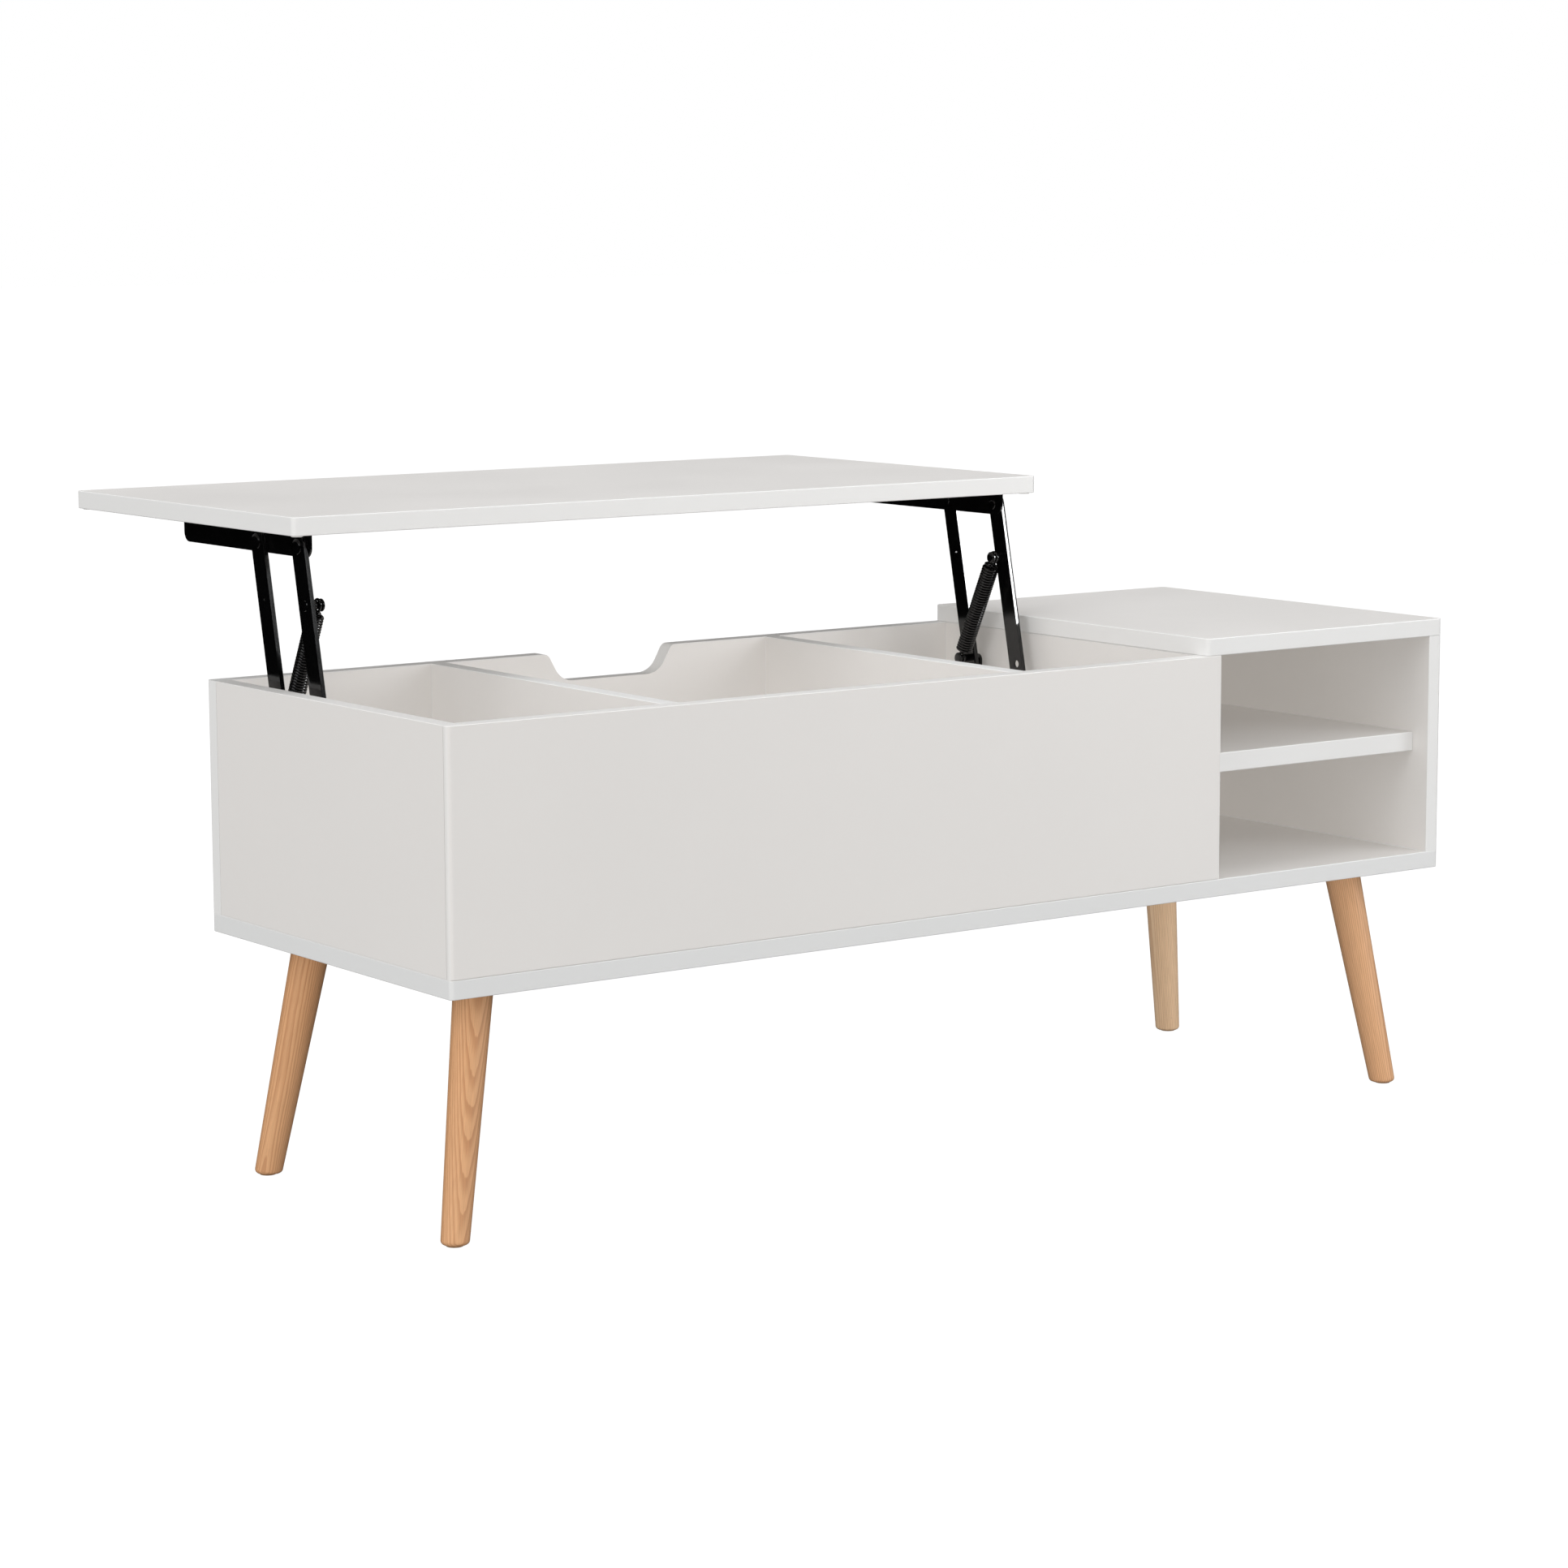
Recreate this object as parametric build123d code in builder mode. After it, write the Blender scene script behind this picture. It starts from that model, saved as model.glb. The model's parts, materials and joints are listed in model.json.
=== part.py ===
from build123d import *
import math
import os

# Lift top coffee table: a white board carcass on four splayed wooden legs, with an open cubby at
# one end and three bins under a lid that rises on two spring-loaded parallelogram mechanisms.
# Millimetres, +Z up. The table stands on Z = 0 with its lid raised, and the origin is the centre
# of its footprint in that pose. The cubby and the plain long panel face -Y, and the lid rises
# towards +Y, over the long panel that has the hand notch.

os.makedirs("parts", exist_ok=True)

# ---- carcass sizes
table_length = 1100.0
table_depth = 400.0
carcass_height = 222.0       # underside of the base board to the rim that the lid closes on
leg_height = 214.0           # floor to the underside of the base board
board = 16.0
shelf_thickness = 18.0
lid_length = 801.0
lid_gap = 4.0                # between the lid and the fixed top
bin_width = 202.0            # clear width of each outer bin
corner_radius = 4.0
edge_ease = 0.8
seam_width = 0.5             # shadow gap where two boards meet
seam_depth = 1.4
corner_lap = 6.0             # thickness of the plain panel's lip over the left end panel

# ---- cubby shelf
shelf_top = 129.0            # above the underside of the base board
shelf_setback = 20.0
shelf_back_gap = 1.0
shelf_side_gap = 0.5
shelf_pin_radius = 2.5
shelf_pin_length = 17.0
shelf_pin_depth = 9.0
shelf_pin_inset = 45.0

# ---- hand notch
notch_depth = 26.0
notch_floor_width = 108.0
notch_mouth_width = 137.0
notch_floor_radius = 22.0
notch_mouth_radius = 8.0

# ---- board joints
hole_slack = 0.02            # radial, between a fixed fastener and its hole
confirmat_radius = 2.5
confirmat_length = 48.0
confirmat_head_radius = 4.75
confirmat_head_depth = 4.0
confirmat_margin = 60.0
confirmats_per_long_panel = 5
dowel_radius = 4.0
dowel_length = 30.0
dowel_in_face = 10.0         # depth of a dowel in the face of a board
dowel_inset = 55.0

# ---- legs
leg_top_radius = 17.0
leg_foot_radius = 12.0
foot_edge_radius = 3.5
foot_inset_x = 26.0
foot_inset_y = 43.0
leg_splay_x = 37.0
leg_splay_y = 24.5
glide_radius = 7.0
glide_thickness = 1.2
leg_plate_size = 56.0
leg_plate_thickness = 2.5
leg_plate_corner = 6.0
hanger_bolt_radius = 4.0
hanger_bolt_in_leg = 34.0
hanger_bolt_above_plate = 6.0
bolt_pocket_radius = 7.0
bolt_pocket_depth = 8.5
plate_screw_radius = 2.0
plate_screw_head_radius = 3.5
plate_screw_head_height = 1.4
plate_screw_length = 12.0
plate_screw_inset = 8.0

# ---- lifting mechanism, as distances from the panel that carries it towards the middle
bracket_thickness = 2.5
arm_offset = 13.5            # to the outer face of an arm
arm_thickness = 2.0
arm_lip = 4.0                # depth over the stiffening lip
lid_bracket_offset = 18.0    # to the outer face of its web, inside the arms
lid_bracket_thickness = 2.0
spring_offset = 26.0

# ---- lifting mechanism, in its own plane
arm_pitch = 211.0            # lower pivot to upper pivot
arm_width = 21.0
raised_lean = 12.0           # degrees past vertical when the lid is up
link_spacing = 71.0          # between the near and the far arm
lower_pivot_depth = 84.5     # below the rim
upper_pivot_drop = 13.0      # below the lid
upper_pivot_inset = 46.0     # near upper pivot behind the near edge of the lid
lip_from_pivot = 3.0         # each end of the stiffening lip, from the pivot next to it
pivot_radius = 4.0
pivot_clearance = 0.05
side_clearance = 0.4
pivot_head_radius = 7.0
pivot_head_thickness = 2.4
pivot_tail_radius = 5.0
pivot_tail_thickness = 0.6
bush_radius = 7.0
washer_radius = 8.0
washer_clearance = 0.3
low_hole = 57.0              # lower spring hole, above the lower pivot
high_hole_below_pivot = 51.0
stud_radius = 3.5
stud_head_radius = 5.6
stud_head_thickness = 2.5
stud_tail_thickness = 0.8
stud_tail_radius = 4.8
spare_hole_radius = 1.3

# ---- lid bracket
lid_bracket_height = 22.5
lid_bracket_near_inset = 32.0
lid_bracket_length = 226.0
lid_bracket_flange = 22.0
lid_bracket_end_radius = 9.0

# ---- base bracket, measured from its pivots
bracket_below_pivots = 14.0
bracket_above_pivots = 16.0
bracket_before_near_pivot = 17.0
bracket_behind_far_pivot = 42.0
ear_width = 30.0
ear_height = 58.0            # above the pivots
bracket_corner = 6.0
buffer_thickness = 6.0
stop_clearance = 0.4
stop_start = 34.0            # along the far arm, from its lower pivot
stop_end = 57.0
stop_tab_reach = 17.0

# ---- springs
spring_radius = 8.0
spring_wire_radius = 1.25
spring_bore_radius = 5.5
spring_end_gap = 8.5         # from a stud's centre to the coils
hook_clearance = 0.3
spring_split_gap = 0.3

# ---- small screws and bumpers
wood_screw_radius = 2.0
wood_screw_length = 12.0
wood_screw_head_radius = 4.0
wood_screw_head_height = 2.0
lid_screw_spacing = 56.0
lid_screws_per_bracket = 4
bumper_radius = 5.0
bumper_thickness = 1.0
closed_gap = 0.4             # left between the bumpers and the rim
bumper_inset = 8.0

# ---- worked out: the mechanism's two end positions
lean = math.radians(raised_lean)
closed_gap_total = bumper_thickness + closed_gap
closed_rise = lower_pivot_depth + closed_gap_total - upper_pivot_drop
closed_angle = math.asin(closed_rise / arm_pitch)
lid_shift = arm_pitch * (math.sin(lean) + math.cos(closed_angle))
lid_rise = arm_pitch * (math.cos(lean) - math.sin(closed_angle))
high_hole = arm_pitch - high_hole_below_pivot
lip_length = arm_pitch - 2 * lip_from_pivot

# ---- worked out: planes of the carcass
left_x = -table_length / 2
right_x = table_length / 2
near_y = -(lid_shift + table_depth) / 2
far_y = near_y + table_depth
base_z = leg_height
floor_z = base_z + board
rim_z = base_z + carcass_height
top_z = rim_z + board
fixed_top_x = left_x + lid_length + lid_gap
left_bin_x = left_x + board
partition_x = (fixed_top_x, fixed_top_x + board)
left_divider_x = (left_bin_x + bin_width, left_bin_x + bin_width + board)
right_divider_x = (fixed_top_x - bin_width - board, fixed_top_x - bin_width)
right_end_x = (right_x - board, right_x)
inner_y = (near_y + board, far_y - board)
storage_middle = Plane.YZ.offset((left_bin_x + fixed_top_x) / 2)
cross_boards = [(left_x, left_bin_x), left_divider_x, right_divider_x, partition_x, right_end_x]

# ---- worked out: the lid in its raised place
lid_near_y = near_y + lid_shift
lid_z = rim_z + closed_gap_total + lid_rise

# ---- worked out: pivots (Y, Z)
near_pivot = (near_y + upper_pivot_inset + arm_pitch * math.cos(closed_angle), rim_z - lower_pivot_depth)
far_pivot = (near_pivot[0] + link_spacing, near_pivot[1])

FROM_BASE = (Align.CENTER, Align.CENTER, Align.MIN)
UP = (0, 0, 1)
DOWN = (0, 0, -1)
INWARD = (1, 0, 0)           # from the left panel towards the middle
OUTWARD = (-1, 0, 0)
TOWARDS_FAR = (0, 1, 0)
TOWARDS_NEAR = (0, -1, 0)
arm_direction = (0, math.sin(lean), math.cos(lean))


def middle(pair):
    """Half way between the two ends of a span."""
    return (pair[0] + pair[1]) / 2


def along_arm(pivot, distance):
    """The point (Y, Z) at a distance up a raised arm from its lower pivot."""
    return (pivot[0] + distance * math.sin(lean), pivot[1] + distance * math.cos(lean))


def spread(start, end, count):
    """Evenly spaced values from start to end, both included."""
    return [start + (end - start) * step / (count - 1) for step in range(count)]


def slab(x_span, y_span, z_span, mode=Mode.ADD):
    """Add, or cut, a square-cut board between three pairs of planes in the part that is open."""
    with Locations((x_span[0], y_span[0], z_span[0])):
        Box(x_span[1] - x_span[0], y_span[1] - y_span[0], z_span[1] - z_span[0],
            align=(Align.MIN, Align.MIN, Align.MIN), mode=mode)


def rods(points, direction, radius, length, mode=Mode.ADD):
    """Add, or cut, a round bar that starts at each point and runs along a direction."""
    with Locations(*[Plane(origin=point, z_dir=direction) for point in points]):
        Cylinder(radius, length, align=FROM_BASE, mode=mode)


def drill(points, direction, radius, depth):
    """Cut a round hole that starts at each point and runs along a direction."""
    rods(points, direction, radius, depth, mode=Mode.SUBTRACT)


def cones(points, direction, start_radius, end_radius, length, mode=Mode.ADD):
    """Add, or cut, a cone that starts at each point and runs along a direction."""
    with Locations(*[Plane(origin=point, z_dir=direction) for point in points]):
        Cone(start_radius, end_radius, length, align=FROM_BASE, mode=mode)


# ---- fastener places
def long_panel_confirmats(y, x_end):
    """Screw points under a long panel, on the underside of the base board."""
    return [(x, y, base_z) for x in spread(left_x + confirmat_margin, x_end - confirmat_margin,
                                           confirmats_per_long_panel)]


def cross_confirmats(x_span):
    """Screw points under a board that runs from front to back."""
    return [(middle(x_span), y, base_z) for y in (near_y + confirmat_margin, far_y - confirmat_margin)]


plain_confirmats = long_panel_confirmats(near_y + board / 2, partition_x[1])
notched_confirmats = long_panel_confirmats(far_y - board / 2, right_x)
all_confirmats = plain_confirmats + notched_confirmats
for span in cross_boards:
    all_confirmats += cross_confirmats(span)

dowel_heights = (floor_z + dowel_inset, rim_z - dowel_inset)
far_dowels = [(middle(span), far_y - dowel_in_face, z) for span in cross_boards for z in dowel_heights]
near_dowels = [(middle(span), near_y + dowel_in_face, z) for span in cross_boards[1:4] for z in dowel_heights]
top_dowels = [(middle(span), y, rim_z + dowel_in_face) for span in (partition_x, right_end_x)
              for y in (near_y + dowel_inset, far_y - dowel_inset)]

foot_corners = {
    "near_left": (1, 1, left_x, near_y),
    "far_left": (1, -1, left_x, far_y),
    "near_right": (-1, 1, right_x, near_y),
    "far_right": (-1, -1, right_x, far_y),
}


def leg_points(corner):
    """Top and foot centres of a leg, under the base board and on the floor."""
    x_sign, y_sign, x, y = foot_corners[corner]
    foot = Vector(x + x_sign * foot_inset_x, y + y_sign * foot_inset_y, 0)
    top = foot + Vector(x_sign * leg_splay_x, y_sign * leg_splay_y, base_z)
    return top, foot


def leg_axis(corner):
    """The plane across the top of a leg whose normal runs down the leg."""
    top, foot = leg_points(corner)
    return Plane(origin=top, z_dir=foot - top)


plate_screw_reach = leg_plate_size / 2 - plate_screw_inset
plate_screws = [
    (leg_points(corner)[0].X + dx, leg_points(corner)[0].Y + dy, base_z)
    for corner in foot_corners
    for dx in (-plate_screw_reach, plate_screw_reach)
    for dy in (-plate_screw_reach, plate_screw_reach)
]

low_screw_z = near_pivot[1] - bracket_below_pivots / 2 - 1
bracket_screws = [
    (left_bin_x, near_pivot[0] + link_spacing / 4, low_screw_z),
    (left_bin_x, near_pivot[0] + 3 * link_spacing / 4, low_screw_z),
    (left_bin_x, far_pivot[0] + bracket_behind_far_pivot - ear_width / 4, low_screw_z),
    (left_bin_x, far_pivot[0] + bracket_behind_far_pivot - ear_width / 4, near_pivot[1] + ear_height - 10),
]
lid_bracket_y = (lid_near_y + lid_bracket_near_inset,
                 lid_near_y + lid_bracket_near_inset + lid_bracket_length)
flange_x = (left_bin_x + lid_bracket_offset, left_bin_x + lid_bracket_offset + lid_bracket_flange)
lid_screw_x = flange_x[1] - wood_screw_head_radius - 1.5
first_lid_screw = middle(lid_bracket_y) - lid_screw_spacing * (lid_screws_per_bracket - 1) / 2
lid_screws = [(lid_screw_x, first_lid_screw + lid_screw_spacing * step, lid_z)
              for step in range(lid_screws_per_bracket)]


# ---- base board
with BuildPart() as base_board:
    slab((left_x, right_x), (near_y, far_y), (base_z, floor_z))
    fillet(base_board.edges().filter_by(Axis.Z), corner_radius)
    fillet(base_board.faces().sort_by(Axis.Z)[0].edges(), edge_ease)
    fillet(base_board.faces().sort_by(Axis.Z)[-1].edges(), edge_ease)
    drill(all_confirmats, UP, confirmat_radius + hole_slack, board)
    cones(all_confirmats, UP, confirmat_head_radius + hole_slack, confirmat_radius + hole_slack,
          confirmat_head_depth, mode=Mode.SUBTRACT)
    drill(plate_screws, UP, plate_screw_radius + hole_slack, plate_screw_length)
    drill([tuple(leg_points(corner)[0]) for corner in foot_corners], UP,
          bolt_pocket_radius, bolt_pocket_depth)
base_board.part.label = "base_board"
export_step(base_board.part, "parts/base_board.step")

# ---- plain long panel: covers the partition's edge, and laps over the left end panel
with BuildPart() as plain_side_panel:
    slab((left_x, partition_x[1]), (near_y, near_y + corner_lap), (floor_z, rim_z))
    slab((left_bin_x, partition_x[1]), (near_y, near_y + board), (floor_z, rim_z))
    panel_corner = plain_side_panel.edges().filter_by(Axis.Z).group_by(Axis.Y)[0].sort_by(Axis.X)[0]
    fillet(panel_corner, corner_radius)
    slab((left_x, partition_x[1]), (near_y, near_y + seam_depth), (floor_z, floor_z + seam_width),
         mode=Mode.SUBTRACT)
    rim_edges = plain_side_panel.faces().sort_by(Axis.Z)[-1].edges().filter_by(Axis.X)
    fillet(rim_edges, edge_ease)
    drill(plain_confirmats, UP, confirmat_radius + hole_slack, board + confirmat_length)
    drill(near_dowels, TOWARDS_FAR, dowel_radius + hole_slack, dowel_length)
plain_side_panel.part.label = "plain_side_panel"
export_step(plain_side_panel.part, "parts/plain_side_panel.step")

# ---- notched long panel: full length, with a hand notch at the middle of the wide bin
with BuildPart() as notched_side_panel:
    notch_x = middle((left_divider_x[1], right_divider_x[0]))
    with BuildSketch(Plane.XZ.offset(-far_y)):
        with Locations((0, middle((floor_z, rim_z)))):
            Rectangle(table_length, rim_z - floor_z)
        with BuildSketch(mode=Mode.SUBTRACT):
            with BuildLine():
                notch_z = rim_z - notch_depth
                Polyline((notch_x - notch_mouth_width / 2, rim_z), (notch_x - notch_floor_width / 2, notch_z),
                         (notch_x + notch_floor_width / 2, notch_z), (notch_x + notch_mouth_width / 2, rim_z),
                         close=True)
            make_face()
    extrude(amount=board)
    upright = notched_side_panel.edges().filter_by(Axis.Y)
    in_notch = upright.filter_by(lambda edge: abs(edge.center().X - notch_x) < notch_mouth_width)
    fillet(in_notch.group_by(Axis.Z)[0], notch_floor_radius)
    upright = notched_side_panel.edges().filter_by(Axis.Y)
    in_notch = upright.filter_by(lambda edge: abs(edge.center().X - notch_x) < notch_mouth_width)
    fillet(in_notch.group_by(Axis.Z)[-1], notch_mouth_radius)
    outer_corners = notched_side_panel.edges().filter_by(Axis.Z).group_by(Axis.Y)[-1]
    fillet(outer_corners, corner_radius)
    drill(notched_confirmats, UP, confirmat_radius + hole_slack, board + confirmat_length)
    drill(far_dowels, TOWARDS_NEAR, dowel_radius + hole_slack, dowel_length)
notched_side_panel.part.label = "notched_side_panel"
export_step(notched_side_panel.part, "parts/notched_side_panel.step")

# ---- left end panel: under the plain panel's lip, butted against the notched one
with BuildPart() as left_end_panel:
    slab((left_x, left_bin_x), (near_y + corner_lap, inner_y[1]), (floor_z, rim_z))
    for seam_y in (near_y + corner_lap, inner_y[1] - seam_width):
        slab((left_x, left_x + seam_depth), (seam_y, seam_y + seam_width), (floor_z, rim_z),
             mode=Mode.SUBTRACT)
    rim_edges = left_end_panel.faces().sort_by(Axis.Z)[-1].edges().filter_by(Axis.Y)
    fillet(rim_edges, edge_ease)
    drill(cross_confirmats(cross_boards[0]), UP, confirmat_radius + hole_slack, board + confirmat_length)
    drill(far_dowels[:2], TOWARDS_NEAR, dowel_radius + hole_slack, dowel_length)
    drill(bracket_screws, OUTWARD, wood_screw_radius + hole_slack, wood_screw_length)
left_end_panel.part.label = "left_end_panel"
export_step(left_end_panel.part, "parts/left_end_panel.step")

# ---- dividers between the three bins
for name, span, number in (("left_divider", left_divider_x, 1), ("right_divider", right_divider_x, 2)):
    with BuildPart() as divider:
        slab(span, inner_y, (floor_z, rim_z))
        rim_edges = divider.faces().sort_by(Axis.Z)[-1].edges().filter_by(Axis.Y)
        fillet(rim_edges, edge_ease)
        drill(cross_confirmats(span), UP, confirmat_radius + hole_slack, board + confirmat_length)
        drill(far_dowels[2 * number:2 * number + 2], TOWARDS_NEAR, dowel_radius + hole_slack, dowel_length)
        drill(near_dowels[2 * number - 2:2 * number], TOWARDS_FAR, dowel_radius + hole_slack, dowel_length)
    divider.part.label = name
    export_step(divider.part, f"parts/{name}.step")

# ---- shelf pins sit half in the boards beside the cubby and half under the shelf
shelf_y = (near_y + shelf_setback, inner_y[1] - shelf_back_gap)
shelf_z = (base_z + shelf_top - shelf_thickness, base_z + shelf_top)
pin_z = shelf_z[0] - shelf_pin_radius
pin_ys = (shelf_y[0] + shelf_pin_inset, shelf_y[1] - shelf_pin_inset)
left_pins = [(partition_x[1] - shelf_pin_depth, y, pin_z) for y in pin_ys]
right_pins = [(right_end_x[0] + shelf_pin_depth, y, pin_z) for y in pin_ys]

# ---- partition between the bins and the cubby: carries the right mechanism
with BuildPart() as partition_panel:
    slab(partition_x, inner_y, (floor_z, rim_z))
    slab((partition_x[0], partition_x[0] + seam_depth), inner_y, (rim_z - seam_width, rim_z),
         mode=Mode.SUBTRACT)
    drill(cross_confirmats(partition_x), UP, confirmat_radius + hole_slack, board + confirmat_length)
    drill(far_dowels[6:8], TOWARDS_NEAR, dowel_radius + hole_slack, dowel_length)
    drill(near_dowels[4:6], TOWARDS_FAR, dowel_radius + hole_slack, dowel_length)
    drill(top_dowels[:2], DOWN, dowel_radius + hole_slack, dowel_length)
    drill(left_pins, INWARD, shelf_pin_radius + hole_slack, board)
    drill([(partition_x[0], y, z) for x, y, z in bracket_screws], INWARD,
          wood_screw_radius + hole_slack, wood_screw_length)
partition_panel.part.label = "partition_panel"
export_step(partition_panel.part, "parts/partition_panel.step")

# ---- right end panel: its near edge shows beside the cubby
with BuildPart() as right_end_panel:
    slab(right_end_x, (near_y, inner_y[1]), (floor_z, rim_z))
    near_corner = right_end_panel.edges().filter_by(Axis.Z).group_by(Axis.Y)[0].sort_by(Axis.X)[-1]
    fillet(near_corner, corner_radius)
    inner_corner = right_end_panel.edges().filter_by(Axis.Z).group_by(Axis.Y)[0].sort_by(Axis.X)[0]
    fillet(inner_corner, edge_ease)
    drill(cross_confirmats(right_end_x), UP, confirmat_radius + hole_slack, board + confirmat_length)
    drill(far_dowels[8:10], TOWARDS_NEAR, dowel_radius + hole_slack, dowel_length)
    drill(top_dowels[2:], DOWN, dowel_radius + hole_slack, dowel_length)
    drill(right_pins, OUTWARD, shelf_pin_radius + hole_slack, board)
right_end_panel.part.label = "right_end_panel"
export_step(right_end_panel.part, "parts/right_end_panel.step")

# ---- fixed top over the cubby
with BuildPart() as fixed_top:
    slab((fixed_top_x, right_x), (near_y, far_y), (rim_z, top_z))
    fillet(fixed_top.edges().filter_by(Axis.Z), corner_radius)
    fillet(fixed_top.faces().sort_by(Axis.Z)[0].edges(), edge_ease)
    fillet(fixed_top.faces().sort_by(Axis.Z)[-1].edges(), edge_ease)
    drill(top_dowels, DOWN, dowel_radius + hole_slack, dowel_length)
fixed_top.part.label = "fixed_top"
export_step(fixed_top.part, "parts/fixed_top.step")

# ---- cubby shelf and its pins
with BuildPart() as cubby_shelf:
    slab((partition_x[1] + shelf_side_gap, right_end_x[0] - shelf_side_gap), shelf_y, shelf_z)
    fillet(cubby_shelf.edges().filter_by(Axis.X).group_by(Axis.Y)[0], edge_ease)
cubby_shelf.part.label = "cubby_shelf"
export_step(cubby_shelf.part, "parts/cubby_shelf.step")

with BuildPart() as shelf_pins:
    rods(left_pins, INWARD, shelf_pin_radius, shelf_pin_length)
    rods(right_pins, OUTWARD, shelf_pin_radius, shelf_pin_length)
shelf_pins.part.label = "shelf_pins"
export_step(shelf_pins.part, "parts/shelf_pins.step")

# ---- confirmat screws up through the base board, and dowels between the boards
with BuildPart() as confirmat_screws:
    rods(all_confirmats, UP, confirmat_radius, confirmat_length)
    cones(all_confirmats, UP, confirmat_head_radius, confirmat_radius, confirmat_head_depth)
confirmat_screws.part.label = "confirmat_screws"
export_step(confirmat_screws.part, "parts/confirmat_screws.step")

with BuildPart() as dowels:
    rods(far_dowels, TOWARDS_NEAR, dowel_radius, dowel_length)
    rods(near_dowels, TOWARDS_FAR, dowel_radius, dowel_length)
    rods(top_dowels, DOWN, dowel_radius, dowel_length)
dowels.part.label = "dowels"
export_step(dowels.part, "parts/dowels.step")

# ---- legs: tapered, splayed both ways, cut level at the plate and at the glide
for corner in foot_corners:
    axis_plane = leg_axis(corner)
    top, foot = leg_points(corner)
    length = (foot - top).length
    taper = (leg_top_radius - leg_foot_radius) / length
    with BuildPart() as leg:
        with Locations(axis_plane.offset(-board)):
            Cone(leg_top_radius + taper * board, leg_foot_radius - taper * board, length + 2 * board,
                 align=FROM_BASE)
        split(bisect_by=Plane.XY.offset(base_z - leg_plate_thickness), keep=Keep.BOTTOM)
        split(bisect_by=Plane.XY.offset(glide_thickness), keep=Keep.TOP)
        fillet(leg.edges().sort_by(Axis.Z)[0], foot_edge_radius)
        with Locations(axis_plane.offset(-board)):
            Cylinder(hanger_bolt_radius + hole_slack, board + hanger_bolt_in_leg, align=FROM_BASE,
                     mode=Mode.SUBTRACT)
    leg.part.label = f"leg_{corner}"
    export_step(leg.part, f"parts/leg_{corner}.step")

# ---- plates, hanger bolts, plate screws and glides of all four legs
with BuildPart() as leg_plates:
    for corner in foot_corners:
        top, foot = leg_points(corner)
        with BuildSketch(Plane.XY.offset(base_z - leg_plate_thickness)):
            with Locations((top.X, top.Y)):
                RectangleRounded(leg_plate_size, leg_plate_size, leg_plate_corner)
        extrude(amount=leg_plate_thickness)
    drill(plate_screws, DOWN, plate_screw_radius + hole_slack, leg_plate_thickness)
    for corner in foot_corners:
        with Locations(leg_axis(corner).offset(-board)):
            Cylinder(hanger_bolt_radius + hole_slack, 2 * board, align=FROM_BASE, mode=Mode.SUBTRACT)
leg_plates.part.label = "leg_plates"
export_step(leg_plates.part, "parts/leg_plates.step")

with BuildPart() as hanger_bolts:
    for corner in foot_corners:
        with Locations(leg_axis(corner).offset(-hanger_bolt_above_plate)):
            Cylinder(hanger_bolt_radius, hanger_bolt_above_plate + hanger_bolt_in_leg, align=FROM_BASE)
hanger_bolts.part.label = "hanger_bolts"
export_step(hanger_bolts.part, "parts/hanger_bolts.step")

plate_underside = base_z - leg_plate_thickness
plate_screw_heads = [(x, y, plate_underside) for x, y, z in plate_screws]
with BuildPart() as leg_plate_screws:
    rods(plate_screw_heads, UP, plate_screw_radius, plate_screw_length)
    cones(plate_screw_heads, DOWN, plate_screw_head_radius, plate_screw_head_radius / 2,
          plate_screw_head_height)
leg_plate_screws.part.label = "leg_plate_screws"
export_step(leg_plate_screws.part, "parts/leg_plate_screws.step")

with BuildPart() as foot_glides:
    rods([tuple(leg_points(corner)[1]) for corner in foot_corners], UP, glide_radius, glide_thickness)
foot_glides.part.label = "foot_glides"
export_step(foot_glides.part, "parts/foot_glides.step")

# ---- lid
with BuildPart() as lid_panel:
    slab((left_x, left_x + lid_length), (lid_near_y, lid_near_y + table_depth), (lid_z, lid_z + board))
    fillet(lid_panel.edges().filter_by(Axis.Z), corner_radius)
    fillet(lid_panel.faces().sort_by(Axis.Z)[0].edges(), edge_ease)
    fillet(lid_panel.faces().sort_by(Axis.Z)[-1].edges(), edge_ease)
    with BuildPart(mode=Mode.PRIVATE) as screw_holes:
        rods(lid_screws, UP, wood_screw_radius + hole_slack, wood_screw_length)
        mirror(about=storage_middle)
    add(screw_holes.part, mode=Mode.SUBTRACT)
lid_panel.part.label = "lid_panel"
export_step(lid_panel.part, "parts/lid_panel.step")

bumper_xs = (left_x + bumper_inset, left_x + lid_length - bumper_inset)
bumper_ys = (lid_near_y + bumper_inset, lid_near_y + table_depth - bumper_inset)
with BuildPart() as lid_bumpers:
    rods([(x, y, lid_z) for x in bumper_xs for y in bumper_ys], DOWN, bumper_radius, bumper_thickness)
lid_bumpers.part.label = "lid_bumpers"
export_step(lid_bumpers.part, "parts/lid_bumpers.step")

# ---- left half of the mechanism; the right half is its mirror image
half_width = arm_width / 2
arm_x = left_bin_x + arm_offset
arm_inner_x = arm_x + arm_thickness
spring_x = left_bin_x + spring_offset
upper_near = along_arm(near_pivot, arm_pitch)
upper_far = along_arm(far_pivot, arm_pitch)
near_stud_point = along_arm(near_pivot, high_hole)
far_stud_point = along_arm(far_pivot, low_hole)
left_pieces = {}


def arm_plane(pivot, x):
    """Sketch plane of an arm: local X runs up the arm, local Y towards its near edge."""
    return Plane(origin=(x, pivot[0], pivot[1]), x_dir=arm_direction, z_dir=INWARD)


def side_plane(x):
    """Sketch plane across the mechanism: local X is the table's Y and local Y its Z."""
    return Plane(origin=(x, 0, 0), x_dir=TOWARDS_FAR, z_dir=INWARD)


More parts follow.
